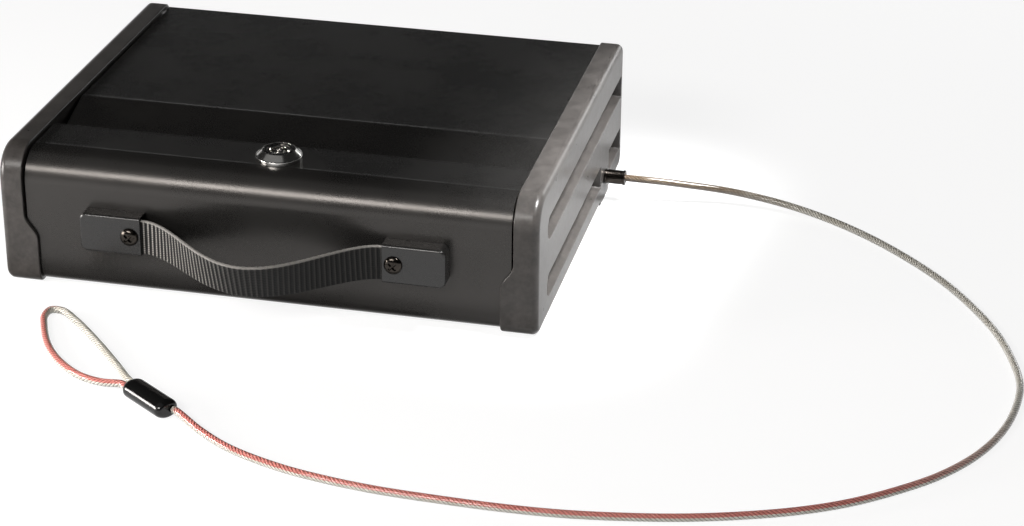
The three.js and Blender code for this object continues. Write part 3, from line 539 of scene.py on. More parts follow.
def with_hole(shell):
    """The shell with a round hole in its top strip: a square of quads goes, and a ring of quads
    runs from that square's edge to the circle on both faces, and between the circles."""
    points, faces = shell
    faces = np.array([face for face in faces if len(face) == 4])
    middles = points[faces].mean(axis=1)
    inside = ((np.abs(middles[:, 0]) < window) & (np.abs(middles[:, 1] - lock_y) < window)
              & (middles[:, 2] > 73))
    share = np.linspace(-window, window, 9)[:-1]
    sides = [np.column_stack([share, np.full(len(share), -window)])]
    for _ in range(3):
        sides.append(np.column_stack([-sides[-1][:, 1], sides[-1][:, 0]]))
    edge = np.vstack(sides)
    circle = unit(edge) * hole_radius
    under = strip_z - sheet
    rings = [np.column_stack([flat + [0.0, lock_y], np.full(len(flat), z)])
             for flat, z in ((edge, strip_z), (circle, strip_z), (circle, under), (edge, under))]
    return joined((points, faces[~inside].tolist()), lofted(rings))


window_line = np.linspace(-window, window, 9)
body_line = [[49.1, 56.0], [49.1, strip_z, 2.2], *[[y, strip_z] for y in lock_y - window_line],
             [2, strip_z, 16.6], [2, 9.2], [2, 9.0], [2, 2.2, 6], [15, 2.2, 2], [18, 4, 2], [20, 4],
             [20.2, 4], [231.3, 4, 8], [231.3, 72.5]]
body_levels = np.concatenate([[-1.0, -0.98, -0.5], window_line / body_half, [0.5, 0.98, 1.0]])
piece("folded_body", with_hole(folded(body_line, sheet, flange_half, body_levels)), "body",
      ["body_shell"], "body_paint", edge=0.3)

# %% [markdown]
# The lid is a flat panel whose front slopes down into the groove and ends in a short flange. Its
# rear edge lies over the piano hinge, which lets it swing up clear of the caps.

# %% Lid
lid_rear, slope_rear, lid_front, ear = 236.5, 87.9, 50.4, 231.0
slope = math.radians(10.4)
lip_z = strip_z - (slope_rear - lid_front) * math.tan(slope)
lid_line = [[lid_rear, strip_z], [ear + 0.1, strip_z], [ear, strip_z], [slope_rear, strip_z, 5],
            [lid_front, lip_z, 2.4], [lid_front, lip_z - 8.6]]


def lid_half(y, z):
    """The lid's own flange is cut short in the same way, below its bend. Behind the hinge two
    small ears reach nearly to the caps."""
    if y > ear + 0.05:
        return cap_inner - seat
    return flange_end if y < lid_front + 2.3 else body_half


piece("folded_lid", folded(lid_line, sheet, lid_half, [-1.0, -0.98, 0.0, 0.98, 1.0]), "lid",
      ["lid_panel"], "body_paint", edge=0.5)

# %% [markdown]
# A small bracket under the slope gives the lock's cam something to hold. It is folded from thicker
# sheet and touches only the lid, so it rides on the lid's body.

# %% Catch under the lid
def under_slope(y):
    """The height just below the slope: the sheet and a seat, measured square to it."""
    return strip_z - (slope_rear - y) * math.tan(slope) - (sheet + seat) / math.cos(slope)


catch_line = [[84, under_slope(84)], [66, under_slope(66), 2.2], [66, 47.8, 2.2], [53, 47.8]]
piece("folded_catch", folded(catch_line, 1.5, lambda y, z: 12.0, [-1.0, 0.0, 1.0]), "lid",
      ["lid_catch"], "body_paint", edge=0.3)

# %% [markdown]
# ## Carrying strap
# The strap is ribbed webbing, about twenty millimetres wide. It lies flat in its two covers and
# bows out between them, sags a little and leans. Its middle line is a curve in x alone, and the
# woven ribs are real: the faces rise and fall with a cosine along the length.

# %% Strap
strap_width, strap_thickness, strap_edge = 19.5, 2.0, 0.6
strap_bow, strap_sag, strap_lean = 33.0, 3.0, math.radians(15)
strap_y, strap_z, strap_half, cover_inner = -5.0, 38.35, 98.0, 66.3
rib_pitch, rib_depth = 2.8, 0.42


def strap_line(x):
    """The bow is one minus the square of the share of the span, squared, so it starts flat."""
    bow = (1 - np.minimum(np.abs(x) / cover_inner, 1.0) ** 2) ** 2
    return np.stack([x, strap_y - strap_bow * bow, strap_z - strap_sag * bow], -1), bow * strap_lean


def strap_shell():
    """Sections across the strap's line. On both faces the rib's cosine takes thickness away, and
    it fades out at the selvages, which stand as plain woven edges."""
    coarse = np.linspace(-strap_half, strap_half, 4001)
    along = along_line(strap_line(coarse)[0])
    even = np.arange(0.0, along[-1], rib_pitch / 7)
    line, lean = strap_line(np.interp(even, along, coarse))
    ahead = unit(np.gradient(line, axis=0))
    up = np.column_stack([np.zeros(len(line)), -np.sin(lean), np.cos(lean)])
    out = unit(np.cross(ahead, up))
    across = np.cross(out, ahead)
    w, t, e = strap_width / 2, strap_thickness / 2, strap_edge
    flat = np.linspace(w - e, e - w, 15)
    a = np.concatenate([flat, [-w + 0.15, -w, -w, -w + 0.15], -flat, [w - 0.15, w, w, w - 0.15]])
    turned_edge = np.array([0.75, 0.3, -0.3, -0.75]) * t
    b = np.concatenate([np.full(15, t), turned_edge, np.full(15, -t), -turned_edge])
    rib = (0.5 - 0.5 * np.cos(2 * np.pi * even / rib_pitch))[:, None]
    fade = np.clip((w - 0.4 - np.abs(a)) / 1.0, 0.0, 1.0)[None]
    selvage = 0.35 * rib_depth * np.where(np.abs(a) > w - 0.5, 1.0, 0.0)[None]
    thin = (rib * rib_depth * fade + rib * selvage) * np.sign(b)[None]
    points = (line[:, None] + across[:, None] * a[None, :, None]
              + out[:, None] * (b[None, :, None] - thin[:, :, None]))
    uv = np.stack(np.broadcast_arrays(a[None] * 0.001, even[:, None] * 0.001), -1)
    return lofted(points, first=True, last=True), uv.reshape(-1, 2)


shell, uv = strap_shell()
piece("carrying_strap", shell, "body", ["strap"], "webbing", uv=uv, sharp=70)

# %% [markdown]
# ## Strap covers
# A cover is a shallow glossy pocket with rounded outer corners, open towards the strap. Its shell
# is one grid: an open U of its outline, carried from the pocket's floor over the rim and round
# the outer edge to the middle of its face.

# %% Covers
cover_outer, cover_front, cover_back, cover_wall, cover_edge = 100.4, -7.2, 2.0, 0.9, 1.5
cover_rise = 10.95
cover_corners = [[cover_inner, strap_z - cover_rise], [cover_outer, strap_z - cover_rise, 3.8],
                 [cover_outer, strap_z + cover_rise, 3.8], [cover_inner, strap_z + cover_rise]]


def cover_shell():
    """Rows of the cover's U at their depths and insets, with its middle line at both ends."""
    def row(y, inset):
        loop = rounded(moved(cover_corners, inset, False), False)
        return np.column_stack([loop[:, 0], np.full(len(loop), y), loop[:, 1]])

    spine = row(0.0, 0.0)
    spine[:, 0] = np.minimum(spine[:, 0], cover_outer - cover_rise)
    spine[:, 2] = strap_z
    floor = cover_front + cover_wall
    rows = [spine + [0.0, floor, 0.0], row(floor, cover_wall), row(cover_back, cover_wall),
            row(cover_back, 0.0)]
    rows += [row(cover_front + cover_edge * rise, cover_edge * run) for rise, run in quarter(7)]
    rows.append(spine + [0.0, cover_front, 0.0])
    count = len(spine)
    faces = grid_faces(len(rows), count).tolist()
    faces += [[k * count + end for k in range(len(rows))] for end in (0, count - 1)]
    return np.vstack(rows), faces


for side, shell in both_sides(cover_shell()):
    piece(f"strap_cover_{side}", shell, "body", [f"handle_cover_{side}"], "cover_plastic", edge=0.15)

# %% [markdown]
# ## Turned pieces
# Screws, the lock, the gland and the cable's stop are turned on a lathe. A profile of radius and
# height is carried round an axis. A profile that ends on the axis closes at a pole, and one that
# joins up with itself closes as a ring.

# %% Lathe
def turned(profile, centre, axis, sides=72, ring=False):
    """Each profile point (radius, height) goes round the axis at even angles."""
    profile = np.asarray(profile, float)
    angle = np.linspace(0.0, 2 * np.pi, sides, endpoint=False)[None]
    radius, height = profile[:, :1], profile[:, 1:2]
    u, v = radius * np.cos(angle), radius * np.sin(angle)
    high = np.broadcast_to(height, u.shape)
    order = {"x": (high, u, v), "y": (u, high, v), "z": (u, v, high)}[axis]
    points = np.stack(order, -1).reshape(-1, 3) + np.asarray(centre, float)
    return points, grid_faces(len(profile), sides, close_rows=ring, close_columns=True).tolist()


def cuboid(low, high):
    """A block as a shell: four corners below, four above."""
    (x0, y0, z0), (x1, y1, z1) = low, high
    points = [[x, y, z] for z in (z0, z1) for x, y in ((x0, y0), (x1, y0), (x1, y1), (x0, y1))]
    faces = [[0, 3, 2, 1], [4, 5, 6, 7], [0, 1, 5, 4], [1, 2, 6, 5], [2, 3, 7, 6], [3, 0, 4, 7]]
    return np.array(points, float), faces


# %% [markdown]
# A domed Phillips head holds each end of the strap. The cross is cut by letting the dome's points
# down where they lie near either arm, which keeps the head one smooth surface.

# %% Strap screws
screw_x, screw_face, screw_radius, screw_dome = 72.4, -7.5, 5.0, 2.4
arm_length, arm_half, arm_depth = 2.7, 0.62, 1.5


def strap_screw():
    """A square grid is bent to a disc by u = a sqrt(1 - b b / 2) and v = b sqrt(1 - a a / 2), and
    raised to an ellipse's quarter. Two crossed arms of the driver's recess are let into it, each
    deepest in the middle. A face under the head closes it, and the shank is a lathe piece."""
    n = 97
    a, b = np.meshgrid(np.linspace(-1.0, 1.0, n), np.linspace(-1.0, 1.0, n), indexing="ij")
    u, v = a * np.sqrt(1 - b ** 2 / 2), b * np.sqrt(1 - a ** 2 / 2)
    spread = np.clip(1 - u ** 2 - v ** 2, 0.0, 1.0)
    p, q = u * screw_radius, v * screw_radius
    p, q = (p + q) * math.sqrt(0.5), (q - p) * math.sqrt(0.5)

    def arm(long, short):
        taper = np.clip((arm_length - np.abs(long)) / 0.35, 0.0, 1.0)
        return taper * np.clip((arm_half - np.abs(short)) / 0.16, 0.0, 1.0) * (1 - np.abs(long) / 5.2)

    dip = arm_depth * np.maximum(arm(p, q), arm(q, p))
    y = screw_face - screw_dome * np.sqrt(spread) + dip
    points = np.stack([screw_x + u * screw_radius, y, strap_z + v * screw_radius], -1).reshape(-1, 3)
    order = np.arange(n * n).reshape(n, n)
    rim = np.concatenate([order[:-1, 0], order[-1, :-1], order[:0:-1, -1], order[0, :0:-1]])
    faces = grid_faces(n, n).tolist() + [rim.tolist()]
    shank = turned([[0, -7.4], [2, -7.4], [2, 7.6], [1.6, 8.0], [0, 8.0]], [screw_x, 0, strap_z], "y", 24)
    return joined((points, faces), shank)


for side, shell in both_sides(strap_screw()):
    piece(f"strap_screw_{side}", shell, "body", [f"handle_screw_{side}"], "black_chrome")

# %% [markdown]
# The tubular lock has a polished cone-shaped collar on the strip and a dark casting inside it.
# Both are rings on the lathe, with small rounds on every edge so that they catch the light.

# %% Lock collar and housing
lock_top, barrel_bottom = 80.8, 51.5
collar_profile = rounded([
    [10.8, strip_z, 0], [12.5, strip_z, 0.25], [12.5, 77.8, 0.35], [11.9, 77.95, 0.25],
    [8.95, lock_top, 0.35], [8.5, lock_top, 0.1], [8.5, 76.8, 0], [10.8, 76.8, 0],
], True, 5)
housing_profile = rounded([
    [6.3, barrel_bottom, 0], [7.9, barrel_bottom, 0.3], [7.9, strip_z, 0], [10.5, strip_z, 0.1],
    [10.5, 76.5, 0.2], [8.2, 76.5, 0.1], [8.2, lock_top - 0.15, 0.45], [6.55, lock_top - 0.15, 0.2],
    [6.3, lock_top - 0.7, 0.1],
], True, 5)
piece("lock_collar_ring", turned(collar_profile, [0, lock_y, 0], "z", 96, ring=True), "body",
      ["lock_collar"], "lock_chrome")
piece("lock_barrel", turned(housing_profile, [0, lock_y, 0], "z", 96, ring=True), "body",
      ["lock_housing"], "lock_casting")

# %% [markdown]
# A tubular lock's plug has a ring for the key round a middle post. The face ring is notched at
# four places, as the key's lugs need, so it is turned first and then let down where the cosine of
# four times the angle is near one.

# %% Lock plug
def lock_plug():
    """The turned plug, let down by the notches' depth on its ring, and the square tail below it."""
    face, post = lock_top - 0.3, lock_top - 0.9
    profile = rounded([
        [0, barrel_bottom, 0], [6, barrel_bottom, 0], [6, face - 0.1, 0.4], [4.7, face - 0.1, 0.35],
        [4.55, face - 5, 0], [3.1, face - 5, 0], [2.9, post, 0.5], [1.2, post + 0.1, 0.2],
        [1.0, post - 0.9, 0.2], [0, post - 0.9, 0],
    ], False, 4)
    points, faces = turned(profile, [0, lock_y, 0], "z", 144)
    angle = np.arctan2(points[:, 1] - lock_y, points[:, 0])
    radius = np.hypot(points[:, 0], points[:, 1] - lock_y)
    notch = np.clip((np.cos(4 * angle) - 0.82) / 0.08, 0.0, 1.0)
    on_ring = (points[:, 2] > face - 1.2) & (radius > 4.4)
    points[:, 2] -= 0.9 * notch * on_ring
    tail = cuboid([-3.5, lock_y - 3.5, 48.8], [3.5, lock_y + 3.5, barrel_bottom])
    return joined((points, faces), tail)


piece("lock_plug_turned", lock_plug(), "lock", ["lock_plug"], "lock_chrome")

# %% [markdown]
# Eight pan-head screws hold the caps from inside the box, and one holds the cam on the plug. They
# share one profile, and the left ones are mirrored from the right.

# %% Screws in the box and the cam's screw
def pan_screw(head, rise, shank, length, chamfer):
    """Profile of a pan-head screw with its head below zero and its shank above."""
    return rounded([[0, -rise, 0], [head, -rise, chamfer], [head, 0, 0.1], [shank, 0, 0.1],
                    [shank, length - shank, 0.1], [0, length, 0]], False, 5)


for number, (y, z) in enumerate([[40, 35.35], [40, 66.0], [200, 35.35], [200, 66.0]], 1):
    screw = turned(pan_screw(3.5, 2.2, 1.5, 11, 1.2), [flange_end, y, z], "x", 32)
    for side, shell in both_sides(screw):
        piece(f"pan_screw_{side}_{number}", shell, "body", [f"cap_screw_{side}_{number}"], "zinc_steel")
piece("cam_pan_screw", turned(pan_screw(6, 2.4, 1.5, 8.2, 1.4), [0, lock_y, 48.5], "z", 48), "lock",
      ["cam_screw"], "zinc_steel")

# %% [markdown]
# The tether passes the right cap through a short plated sleeve with a flared mouth. A swaged stop
# behind the wall keeps it from being pulled out.

# %% Gland and cable stop
gland_centre = [0, 185.0, 14.5]
gland_profile = rounded([
    [2.3, 127.3, 0], [3.6, 127.3, 0.2], [3.6, 148.3, 0], [4.4, 148.3, 0.25], [4.4, 149.3, 0.25],
    [4.1, 149.5, 0.1], [4.1, 158.9, 0.1], [4.4, 159.1, 0.2], [4.35, 160.3, 0.3], [2.7, 160.3, 0.2],
    [2.3, 159.8, 0.1],
], True, 5)
stop_profile = rounded([
    [0, 115.0, 0], [2, 115.0, 0.3], [2, 117.0, 0], [4.4, 117.0, 0.6], [4.4, 127.0, 0.6],
    [2, 127.0, 0], [2, 160.0, 0], [0, 160.0, 0],
], False, 5)
gland = piece("cable_gland", turned(gland_profile, gland_centre, "x", 64, ring=True), "body",
              ["gland_sleeve"], "black_chrome")
stop = piece("cable_end_stop", turned(stop_profile, gland_centre, "x", 32), "body",
             ["cable_stop"], "cable_steel")

# %% [markdown]
# The crimp is a pressed oval barrel in a black sleeve, rounded at both ends. It is a stack of
# ovals along its axis, which lies on the tether's own line at the floor.

# %% Crimp ferrule
def ferrule_shell():
    """Ovals along the ferrule: full size in the middle, and an ellipse's quarter to each end. An
    oval's points lie where the powers 2.1 of both their shares add up to one."""
    length, width, height, power = 33.0, 13.0, 9.6, 2.1
    angle = np.linspace(0.0, np.pi / 2, 10)
    end_along = 0.78 + 0.22 * np.sin(angle)
    end_scale = 0.6 + 0.4 * np.cos(angle)
    along = np.concatenate([[-1.0], -end_along[::-1], end_along, [1.0]])[:, None, None]
    scale = np.concatenate([[0.0], end_scale[::-1], end_scale, [0.0]])[:, None]
    turn = np.linspace(0.0, 2 * np.pi, 64, endpoint=False)[None]
    p, q = np.cos(turn), np.sin(turn)
    oval = scale / (np.abs(p) ** power + np.abs(q) ** power) ** (1 / power)
    points = (ferrule_middle + along * length / 2 * ferrule_along
              + (oval * p * width / 2)[:, :, None] * ferrule_across
              + (oval * q * height / 2)[:, :, None] * [0.0, 0.0, 1.0])
    points[..., 2] = np.maximum(points[..., 2], 0.0)
    return lofted(points)


ferrule = piece("crimp_sleeve", ferrule_shell(), "body", ["crimp_ferrule"], "ferrule_sleeve")

# %% [markdown]
# The tether leaves the gland, and the loop leaves the ferrule, which lies on the tether.

# %% [markdown]
# ## Liner and hinge
# A dark foam pad lies on the floor of the box, cut with round corners. Behind, a piano hinge
# joins the sheets: two thin leaves whose edges are rolled in turn round one pin.

# %% Liner pad
def liner_shell():
    """The pad's outline in rows: out along the floor, up its side, over a soft edge and in."""
    corners = [[-121.4, 10, 10], [121.4, 10, 10], [121.4, 223.3, 10], [-121.4, 223.3, 10]]
    top, soft = 9.5, 1.2
    steps = [(5.5, 0.4), (5.7, 0.0)] + [(top - soft * rise, soft * run) for rise, run in quarter(6)]
    rows = []
    for z, inset in steps:
        loop = rounded(moved(corners, inset))
        rows.append(np.column_stack([loop, np.full(len(loop), z)]))
    return lofted(rows, first=True, last=True)


liner = piece("liner_foam_pad", liner_shell(), "body", ["liner_pad"], "liner_foam")

# %% [markdown]
# The hinge runs along the rear edge inside the lid. Its ten knuckles belong to the two leaves by
# turns, and the pin goes through all of them, so each leaf can ride on its own body.

# %% Piano hinge
pin_centre = [0, 234.4, 71.2]
knuckle_radius, knuckle_pitch, hinge_half = 2.8, 24.0, 120.0


def leaf(parity, plate, neck_low, neck_high):
    """A leaf's plate with every second knuckle: a roll round the pin and a neck that holds it."""
    starts = [i * knuckle_pitch - hinge_half + 0.2 for i in range(parity, 10, 2)]
    spans = [(start, start + knuckle_pitch - 0.4) for start in starts]
    necks = [cuboid([start, *neck_low], [end, *neck_high]) for start, end in spans]
    rolls = []
    for start, end in spans:
        profile = rounded([[1.8, start, 0], [knuckle_radius, start, 0.15],
                           [knuckle_radius, end, 0.15], [1.8, end, 0]], True, 3)
        rolls.append(turned(profile, pin_centre, "x", 32, ring=True))
    return joined(cuboid(*plate), *necks, *rolls)


body_leaf = leaf(0, ([-hinge_half, 231.6, 51.2], [hinge_half, 232.6, 68.1]), [231.6, 67.1], [232.6, 71.2])
lid_leaf = leaf(1, ([-hinge_half, 214.4, 73.0], [hinge_half, 231.3, 74.0]), [230.3, 73.0], [234.4, 74.0])
piece("hinge_leaf_of_body", body_leaf, "body", ["hinge_body_leaf"], "body_paint")
piece("hinge_leaf_of_lid", lid_leaf, "lid", ["hinge_lid_leaf"], "body_paint")
pin_profile = rounded([[0, -119.6, 0], [1.5, -119.6, 0.4], [1.5, 119.6, 0.4], [0, 119.6, 0]], False, 4)
piece("hinge_pin_turned", turned(pin_profile, pin_centre, "x", 32), "body", ["hinge_pin"], "zinc_steel")

# %% [markdown]
# # Finishes
# No surface of the real safe is one flat colour. Powder coat has a fine orange peel, moulded
# plastic is a little cloudy, plated steel carries hairline scratches, and webbing shows its yarn.
# Effects that several finishes share are node groups, which put out a plain value, and every
# pattern is counted on Object coordinates or on the piece's own UV, so it moves with the piece.

# %% Nodes
def fill(node, inputs):
    """Links each input that is given a value, and sets each that is given a number or a colour."""
    for key, value in (inputs if isinstance(inputs, dict) else dict(enumerate(inputs))).items():
        if isinstance(value, Value):
            node.id_data.links.new(value.socket, node.inputs[key])
        else:
            node.inputs[key].default_value = value
    return node


def add(tree, kind, inputs=(), **settings):
    """A new node with its settings and its inputs."""
    node = tree.nodes.new(kind)
    for key, value in settings.items():
        setattr(node, key, value)
    return fill(node, inputs)


class Value:
    """What a node puts out. Sums, products and ranges of values are new nodes in its own tree."""

    def __init__(self, node, output=0):
        self.socket = node.outputs[output]

    def through(self, kind, inputs, output=0, **settings):
        return Value(add(self.socket.id_data, kind, inputs, **settings), output)

    def math(self, operation, *others):
        return self.through("ShaderNodeMath", [self, *others], operation=operation)

    def __add__(self, other):
        return self.math("ADD", other)

    def __sub__(self, other):
        return self.math("SUBTRACT", other)

    def __mul__(self, other):
        return self.math("MULTIPLY", other)

    def __abs__(self):
        return self.math("ABSOLUTE")

    def parts(self):
        """A vector's x, y and z."""
        node = add(self.socket.id_data, "ShaderNodeSeparateXYZ", [self])
        return [Value(node, k) for k in range(3)]

    def ranged(self, low, high, new_low=0.0, new_high=1.0):
        """The value's range from low to high, mapped smoothly to the new range."""
        return self.through("ShaderNodeMapRange", [self, low, high, new_low, new_high],
                            interpolation_type="SMOOTHSTEP")

    def mixed(self, first, second):
        """A colour between two colours, by the value as a share from 0 to 1."""
        first, second = (end if isinstance(end, Value) else (*end, 1.0) for end in (first, second))
        return self.through("ShaderNodeMix", {0: self, 6: first, 7: second}, 2, data_type="RGBA")


def where(tree, output="Object"):
    """A point's place in coordinates of that kind, as a vector."""
    return Value(add(tree, "ShaderNodeTexCoord"), output)


# %% [markdown]
# A node group gets named numbers and puts out named numbers. A finish is a material whose
# Principled shader is told each quality by name, as a constant or as a value that varies.

# %% Groups and finishes
def new_group(name, outputs, **inputs):
    """A node group with its coordinates, its inputs as values, and the node it puts out by."""
    group = bpy.data.node_groups.new(name, "ShaderNodeTree")
    for label, number in inputs.items():
        made = group.interface.new_socket(label, in_out="INPUT", socket_type="NodeSocketFloat")
        made.default_value = number
    for label in outputs:
        group.interface.new_socket(label, in_out="OUTPUT", socket_type="NodeSocketFloat")
    entry = group.nodes.new("NodeGroupInput")
    values = [Value(entry, label) for label in inputs]
    return group, where(group), values, group.nodes.new("NodeGroupOutput")


def per_metre(millimetres):
    """How many times a pattern repeats in a metre: 1000 divided by its size in millimetres."""
    return millimetres.through("ShaderNodeMath", [1000.0, millimetres], operation="DIVIDE")


class Finish:
    """A material, with its tree and its shader at hand."""

    def __init__(self, name, **qualities):
        self.material = bpy.data.materials.new(name)
        self.material.use_nodes = True
        self.tree = self.material.node_tree
        self.shader = self.tree.nodes["Principled BSDF"]
        self.has(**qualities)

    def has(self, **qualities):
        """Sets or links the shader's own sockets, by their labels in small letters."""
        fill(self.shader, {word.replace("_", " ").title().replace("Ior", "IOR"): quality
                           for word, quality in qualities.items()})

    def use(self, group, *numbers):
        """What a group puts out when it is placed here with its own numbers."""
        node = add(self.tree, "ShaderNodeGroup", node_tree=group)
        fill(node, numbers)
        return [Value(node, k) for k in range(len(node.outputs))]

    def bump(self, height, depth_mm):
        """The height, in millimetres at its depth, moves the shader's normal."""
        self.has(normal=height.through("ShaderNodeBump", {
            "Height": height, "Distance": depth_mm * 0.001, "Strength": 1.0}))


# %% [markdown]
# Every finish varies slowly and finely. One group gives a broad and a fine noise, both counted in
# millimetres on Object coordinates, and each material picks the sizes that suit it.

# %% Cloudiness, shared by every finish
cloudy, spot, sizes, out = new_group("cloudiness", ["Cloud", "Fine"], size_mm=20.0, fine_mm=1.0)
fill(out, [spot.through("ShaderNodeTexNoise", {
    "Vector": spot, "Scale": per_metre(size), "Detail": detail, "Roughness": 0.55})
    for size, detail in zip(sizes, (3.0, 2.0))])
print("group", cloudy.name)

# %% [markdown]
# Orange peel is the slight waviness of a sprayed or moulded skin: rounded cells under a
# millimetre wide. Smooth Voronoi distance gives the cells, and a little noise breaks them up.

# %% Orange peel, shared by paint, plastic and foam
peel, spot, (cell, break_up), out = new_group("orange peel", ["Height"], cell_mm=0.6, break_up=0.4)
scale = per_metre(cell)
cells = spot.through("ShaderNodeTexVoronoi", {"Vector": spot, "Scale": scale, "Smoothness": 1.0},
                     feature="SMOOTH_F1")
noise = spot.through("ShaderNodeTexNoise", {"Vector": spot, "Scale": scale, "Detail": 3.0})
fill(out, [cells + noise * break_up])
print("group", peel.name)

# %% [markdown]
# Fingers and cloths leave hairlines on plated metal and gloss plastic. Noise stretched about fifty
# times in one direction gives them, and two crossing sets look less regular than one.

# %% Hairlines, shared by metals and gloss
hairlines, spot, (width, length), out = new_group("hairlines", ["Lines"], width_mm=0.1, length_mm=6.0)
sets = []
for turn in ((0.3, 0.2, 0.5), (1.1, 0.7, 2.0)):
    x, y, z = spot.through("ShaderNodeMapping", {"Vector": spot, "Rotation": turn}).parts()
    narrow, long = per_metre(width), per_metre(length)
    stretched = x.through("ShaderNodeCombineXYZ", [x * narrow, y * long, z * narrow])
    noise = x.through("ShaderNodeTexNoise", {"Vector": stretched, "Scale": 1.0, "Detail": 2.0})
    sets.append(noise.ranged(0.62, 0.74))
fill(out, [sets[0].math("MAXIMUM", sets[1])])
print("group", hairlines.name)

# %% [markdown]
# ## Powder coat
# The steel is sprayed satin black. The coat is not quite even: broad clouds change its sheen, the
# orange peel scatters its highlights, and a few pale specks of dust lie in it. Three folds have
# left faint ridges along the strip and the lid's slope, which catch the light.

# %% Black powder coat
coat = Finish("black powder coat", ior=1.6, specular_tint=(1.0, 0.95, 0.91, 1.0))
cloud, fine = coat.use(cloudy, 45.0, 0.5)
height, = coat.use(peel, 0.55, 0.5)
black = cloud.ranged(0.3, 0.7).mixed((0.011, 0.0108, 0.0104), (0.0155, 0.0151, 0.0146))
specks = fine.ranged(0.70, 0.78) * 0.35
coat.has(base_color=specks.mixed(black, (0.04, 0.039, 0.037)),
         roughness=fine * 0.06 + cloud.ranged(0.25, 0.75, 0.23, 0.27))
depth = where(coat.tree).parts()[1]
for y, rise in ((20.0, 8.0), (47.7, 20.0), (89.5, 8.0)):
    near = abs(depth - place([0, y, 0])[1])
    height = near.ranged(0.0017, 0.0002) * rise + height
coat.bump(height, 0.012)

# %% [markdown]
# The end caps are charcoal plastic, mottled like a moulding that has been wiped. The mottling
# changes both the colour and the gloss a little, and the skin is faintly uneven.

# %% Charcoal moulding
moulding = Finish("charcoal moulding", ior=1.42)
cloud, fine = moulding.use(cloudy, 9.0, 2.2)
height, = moulding.use(peel, 0.5, 0.4)
share = fine * 0.45 + cloud * 0.75
moulding.has(base_color=share.ranged(0.2, 1.0).mixed((0.034, 0.0316, 0.0299), (0.078, 0.0719, 0.0677)),
             roughness=share.ranged(0.2, 1.0, 0.26, 0.36))
moulding.bump(height, 0.008)

# %% [markdown]
# Nuts, the hinge pin and the box screws are bright zinc plate: pale, a little blotchy, and dulled
# by hairlines. They are seen only inside the box or under its lid.

# %% Zinc plate
zinc = Finish("zinc plate", metallic=1.0)
cloud, fine = zinc.use(cloudy, 6.0, 0.4)
lines, = zinc.use(hairlines, 0.08, 4.0)
zinc.has(base_color=cloud.ranged(0.3, 0.7).mixed((0.42, 0.42, 0.4), (0.58, 0.58, 0.57)),
         roughness=lines * 0.12 + fine.ranged(0.3, 0.7, 0.28, 0.4))
zinc.bump(lines, -0.006)

# %% [markdown]
# The lock's collar and plug are chrome that mirrors the studio. Handling leaves short hairlines,
# which widen the reflection along them.

# %% Polished chrome
chrome = Finish("polished chrome", metallic=1.0)
cloud, fine = chrome.use(cloudy, 5.0, 0.8)
lines, = chrome.use(hairlines, 0.07, 3.0)
chrome.has(base_color=cloud.mixed((0.62, 0.61, 0.58), (0.76, 0.75, 0.73)),
           roughness=lines * 0.08 + fine.ranged(0.3, 0.7, 0.13, 0.2))
chrome.bump(lines, -0.003)

# %% [markdown]
# The casting inside the collar is plated dark. It is metal with a low, cloudy reflectance.

# %% Dark nickel
dark_nickel = Finish("dark nickel", metallic=1.0)
cloud, fine = dark_nickel.use(cloudy, 4.0, 0.5)
dark_nickel.has(base_color=cloud.mixed((0.05, 0.047, 0.045), (0.11, 0.105, 0.1)),
                roughness=fine.ranged(0.3, 0.7, 0.2, 0.32))

# %% [markdown]
# The strap screws and the gland are black chrome: nearly black, but polished, so that they show
# only the lamps.

# %% Black chrome
black_chrome = Finish("black chrome", metallic=1.0)
cloud, fine = black_chrome.use(cloudy, 3.0, 0.6)
lines, = black_chrome.use(hairlines, 0.07, 2.5)
black_chrome.has(base_color=cloud.mixed((0.036, 0.031, 0.027), (0.062, 0.055, 0.048)),
                 roughness=lines * 0.08 + fine.ranged(0.3, 0.7, 0.13, 0.22))
black_chrome.bump(lines, -0.003)

# %% [markdown]
# The strap's covers are gloss black plastic with fine wiping marks. Their own colour is nearly
# black, so what is seen of them is mostly reflection.

# %% Gloss black covers
gloss = Finish("gloss black moulding", ior=1.62)
cloud, _ = gloss.use(cloudy, 9.0, 0.7)
lines, = gloss.use(hairlines, 0.09, 5.0)
gloss.has(base_color=cloud.mixed((0.007, 0.0066, 0.0063), (0.012, 0.0114, 0.0108)),
          roughness=lines * 0.12 + cloud.ranged(0.3, 0.7, 0.2, 0.3))
gloss.bump(lines, -0.004)

# %% [markdown]
# The sleeve on the crimp is the glossiest black here, soft enough to show slight dents.

# %% Ferrule sleeve
sleeve = Finish("gloss black sleeve", ior=1.5)
cloud, fine = sleeve.use(cloudy, 7.0, 1.2)
sleeve.has(base_color=cloud.mixed((0.004, 0.004, 0.004), (0.008, 0.008, 0.008)),
           roughness=fine.ranged(0.3, 0.7, 0.10, 0.2))
sleeve.bump(fine, 0.02)
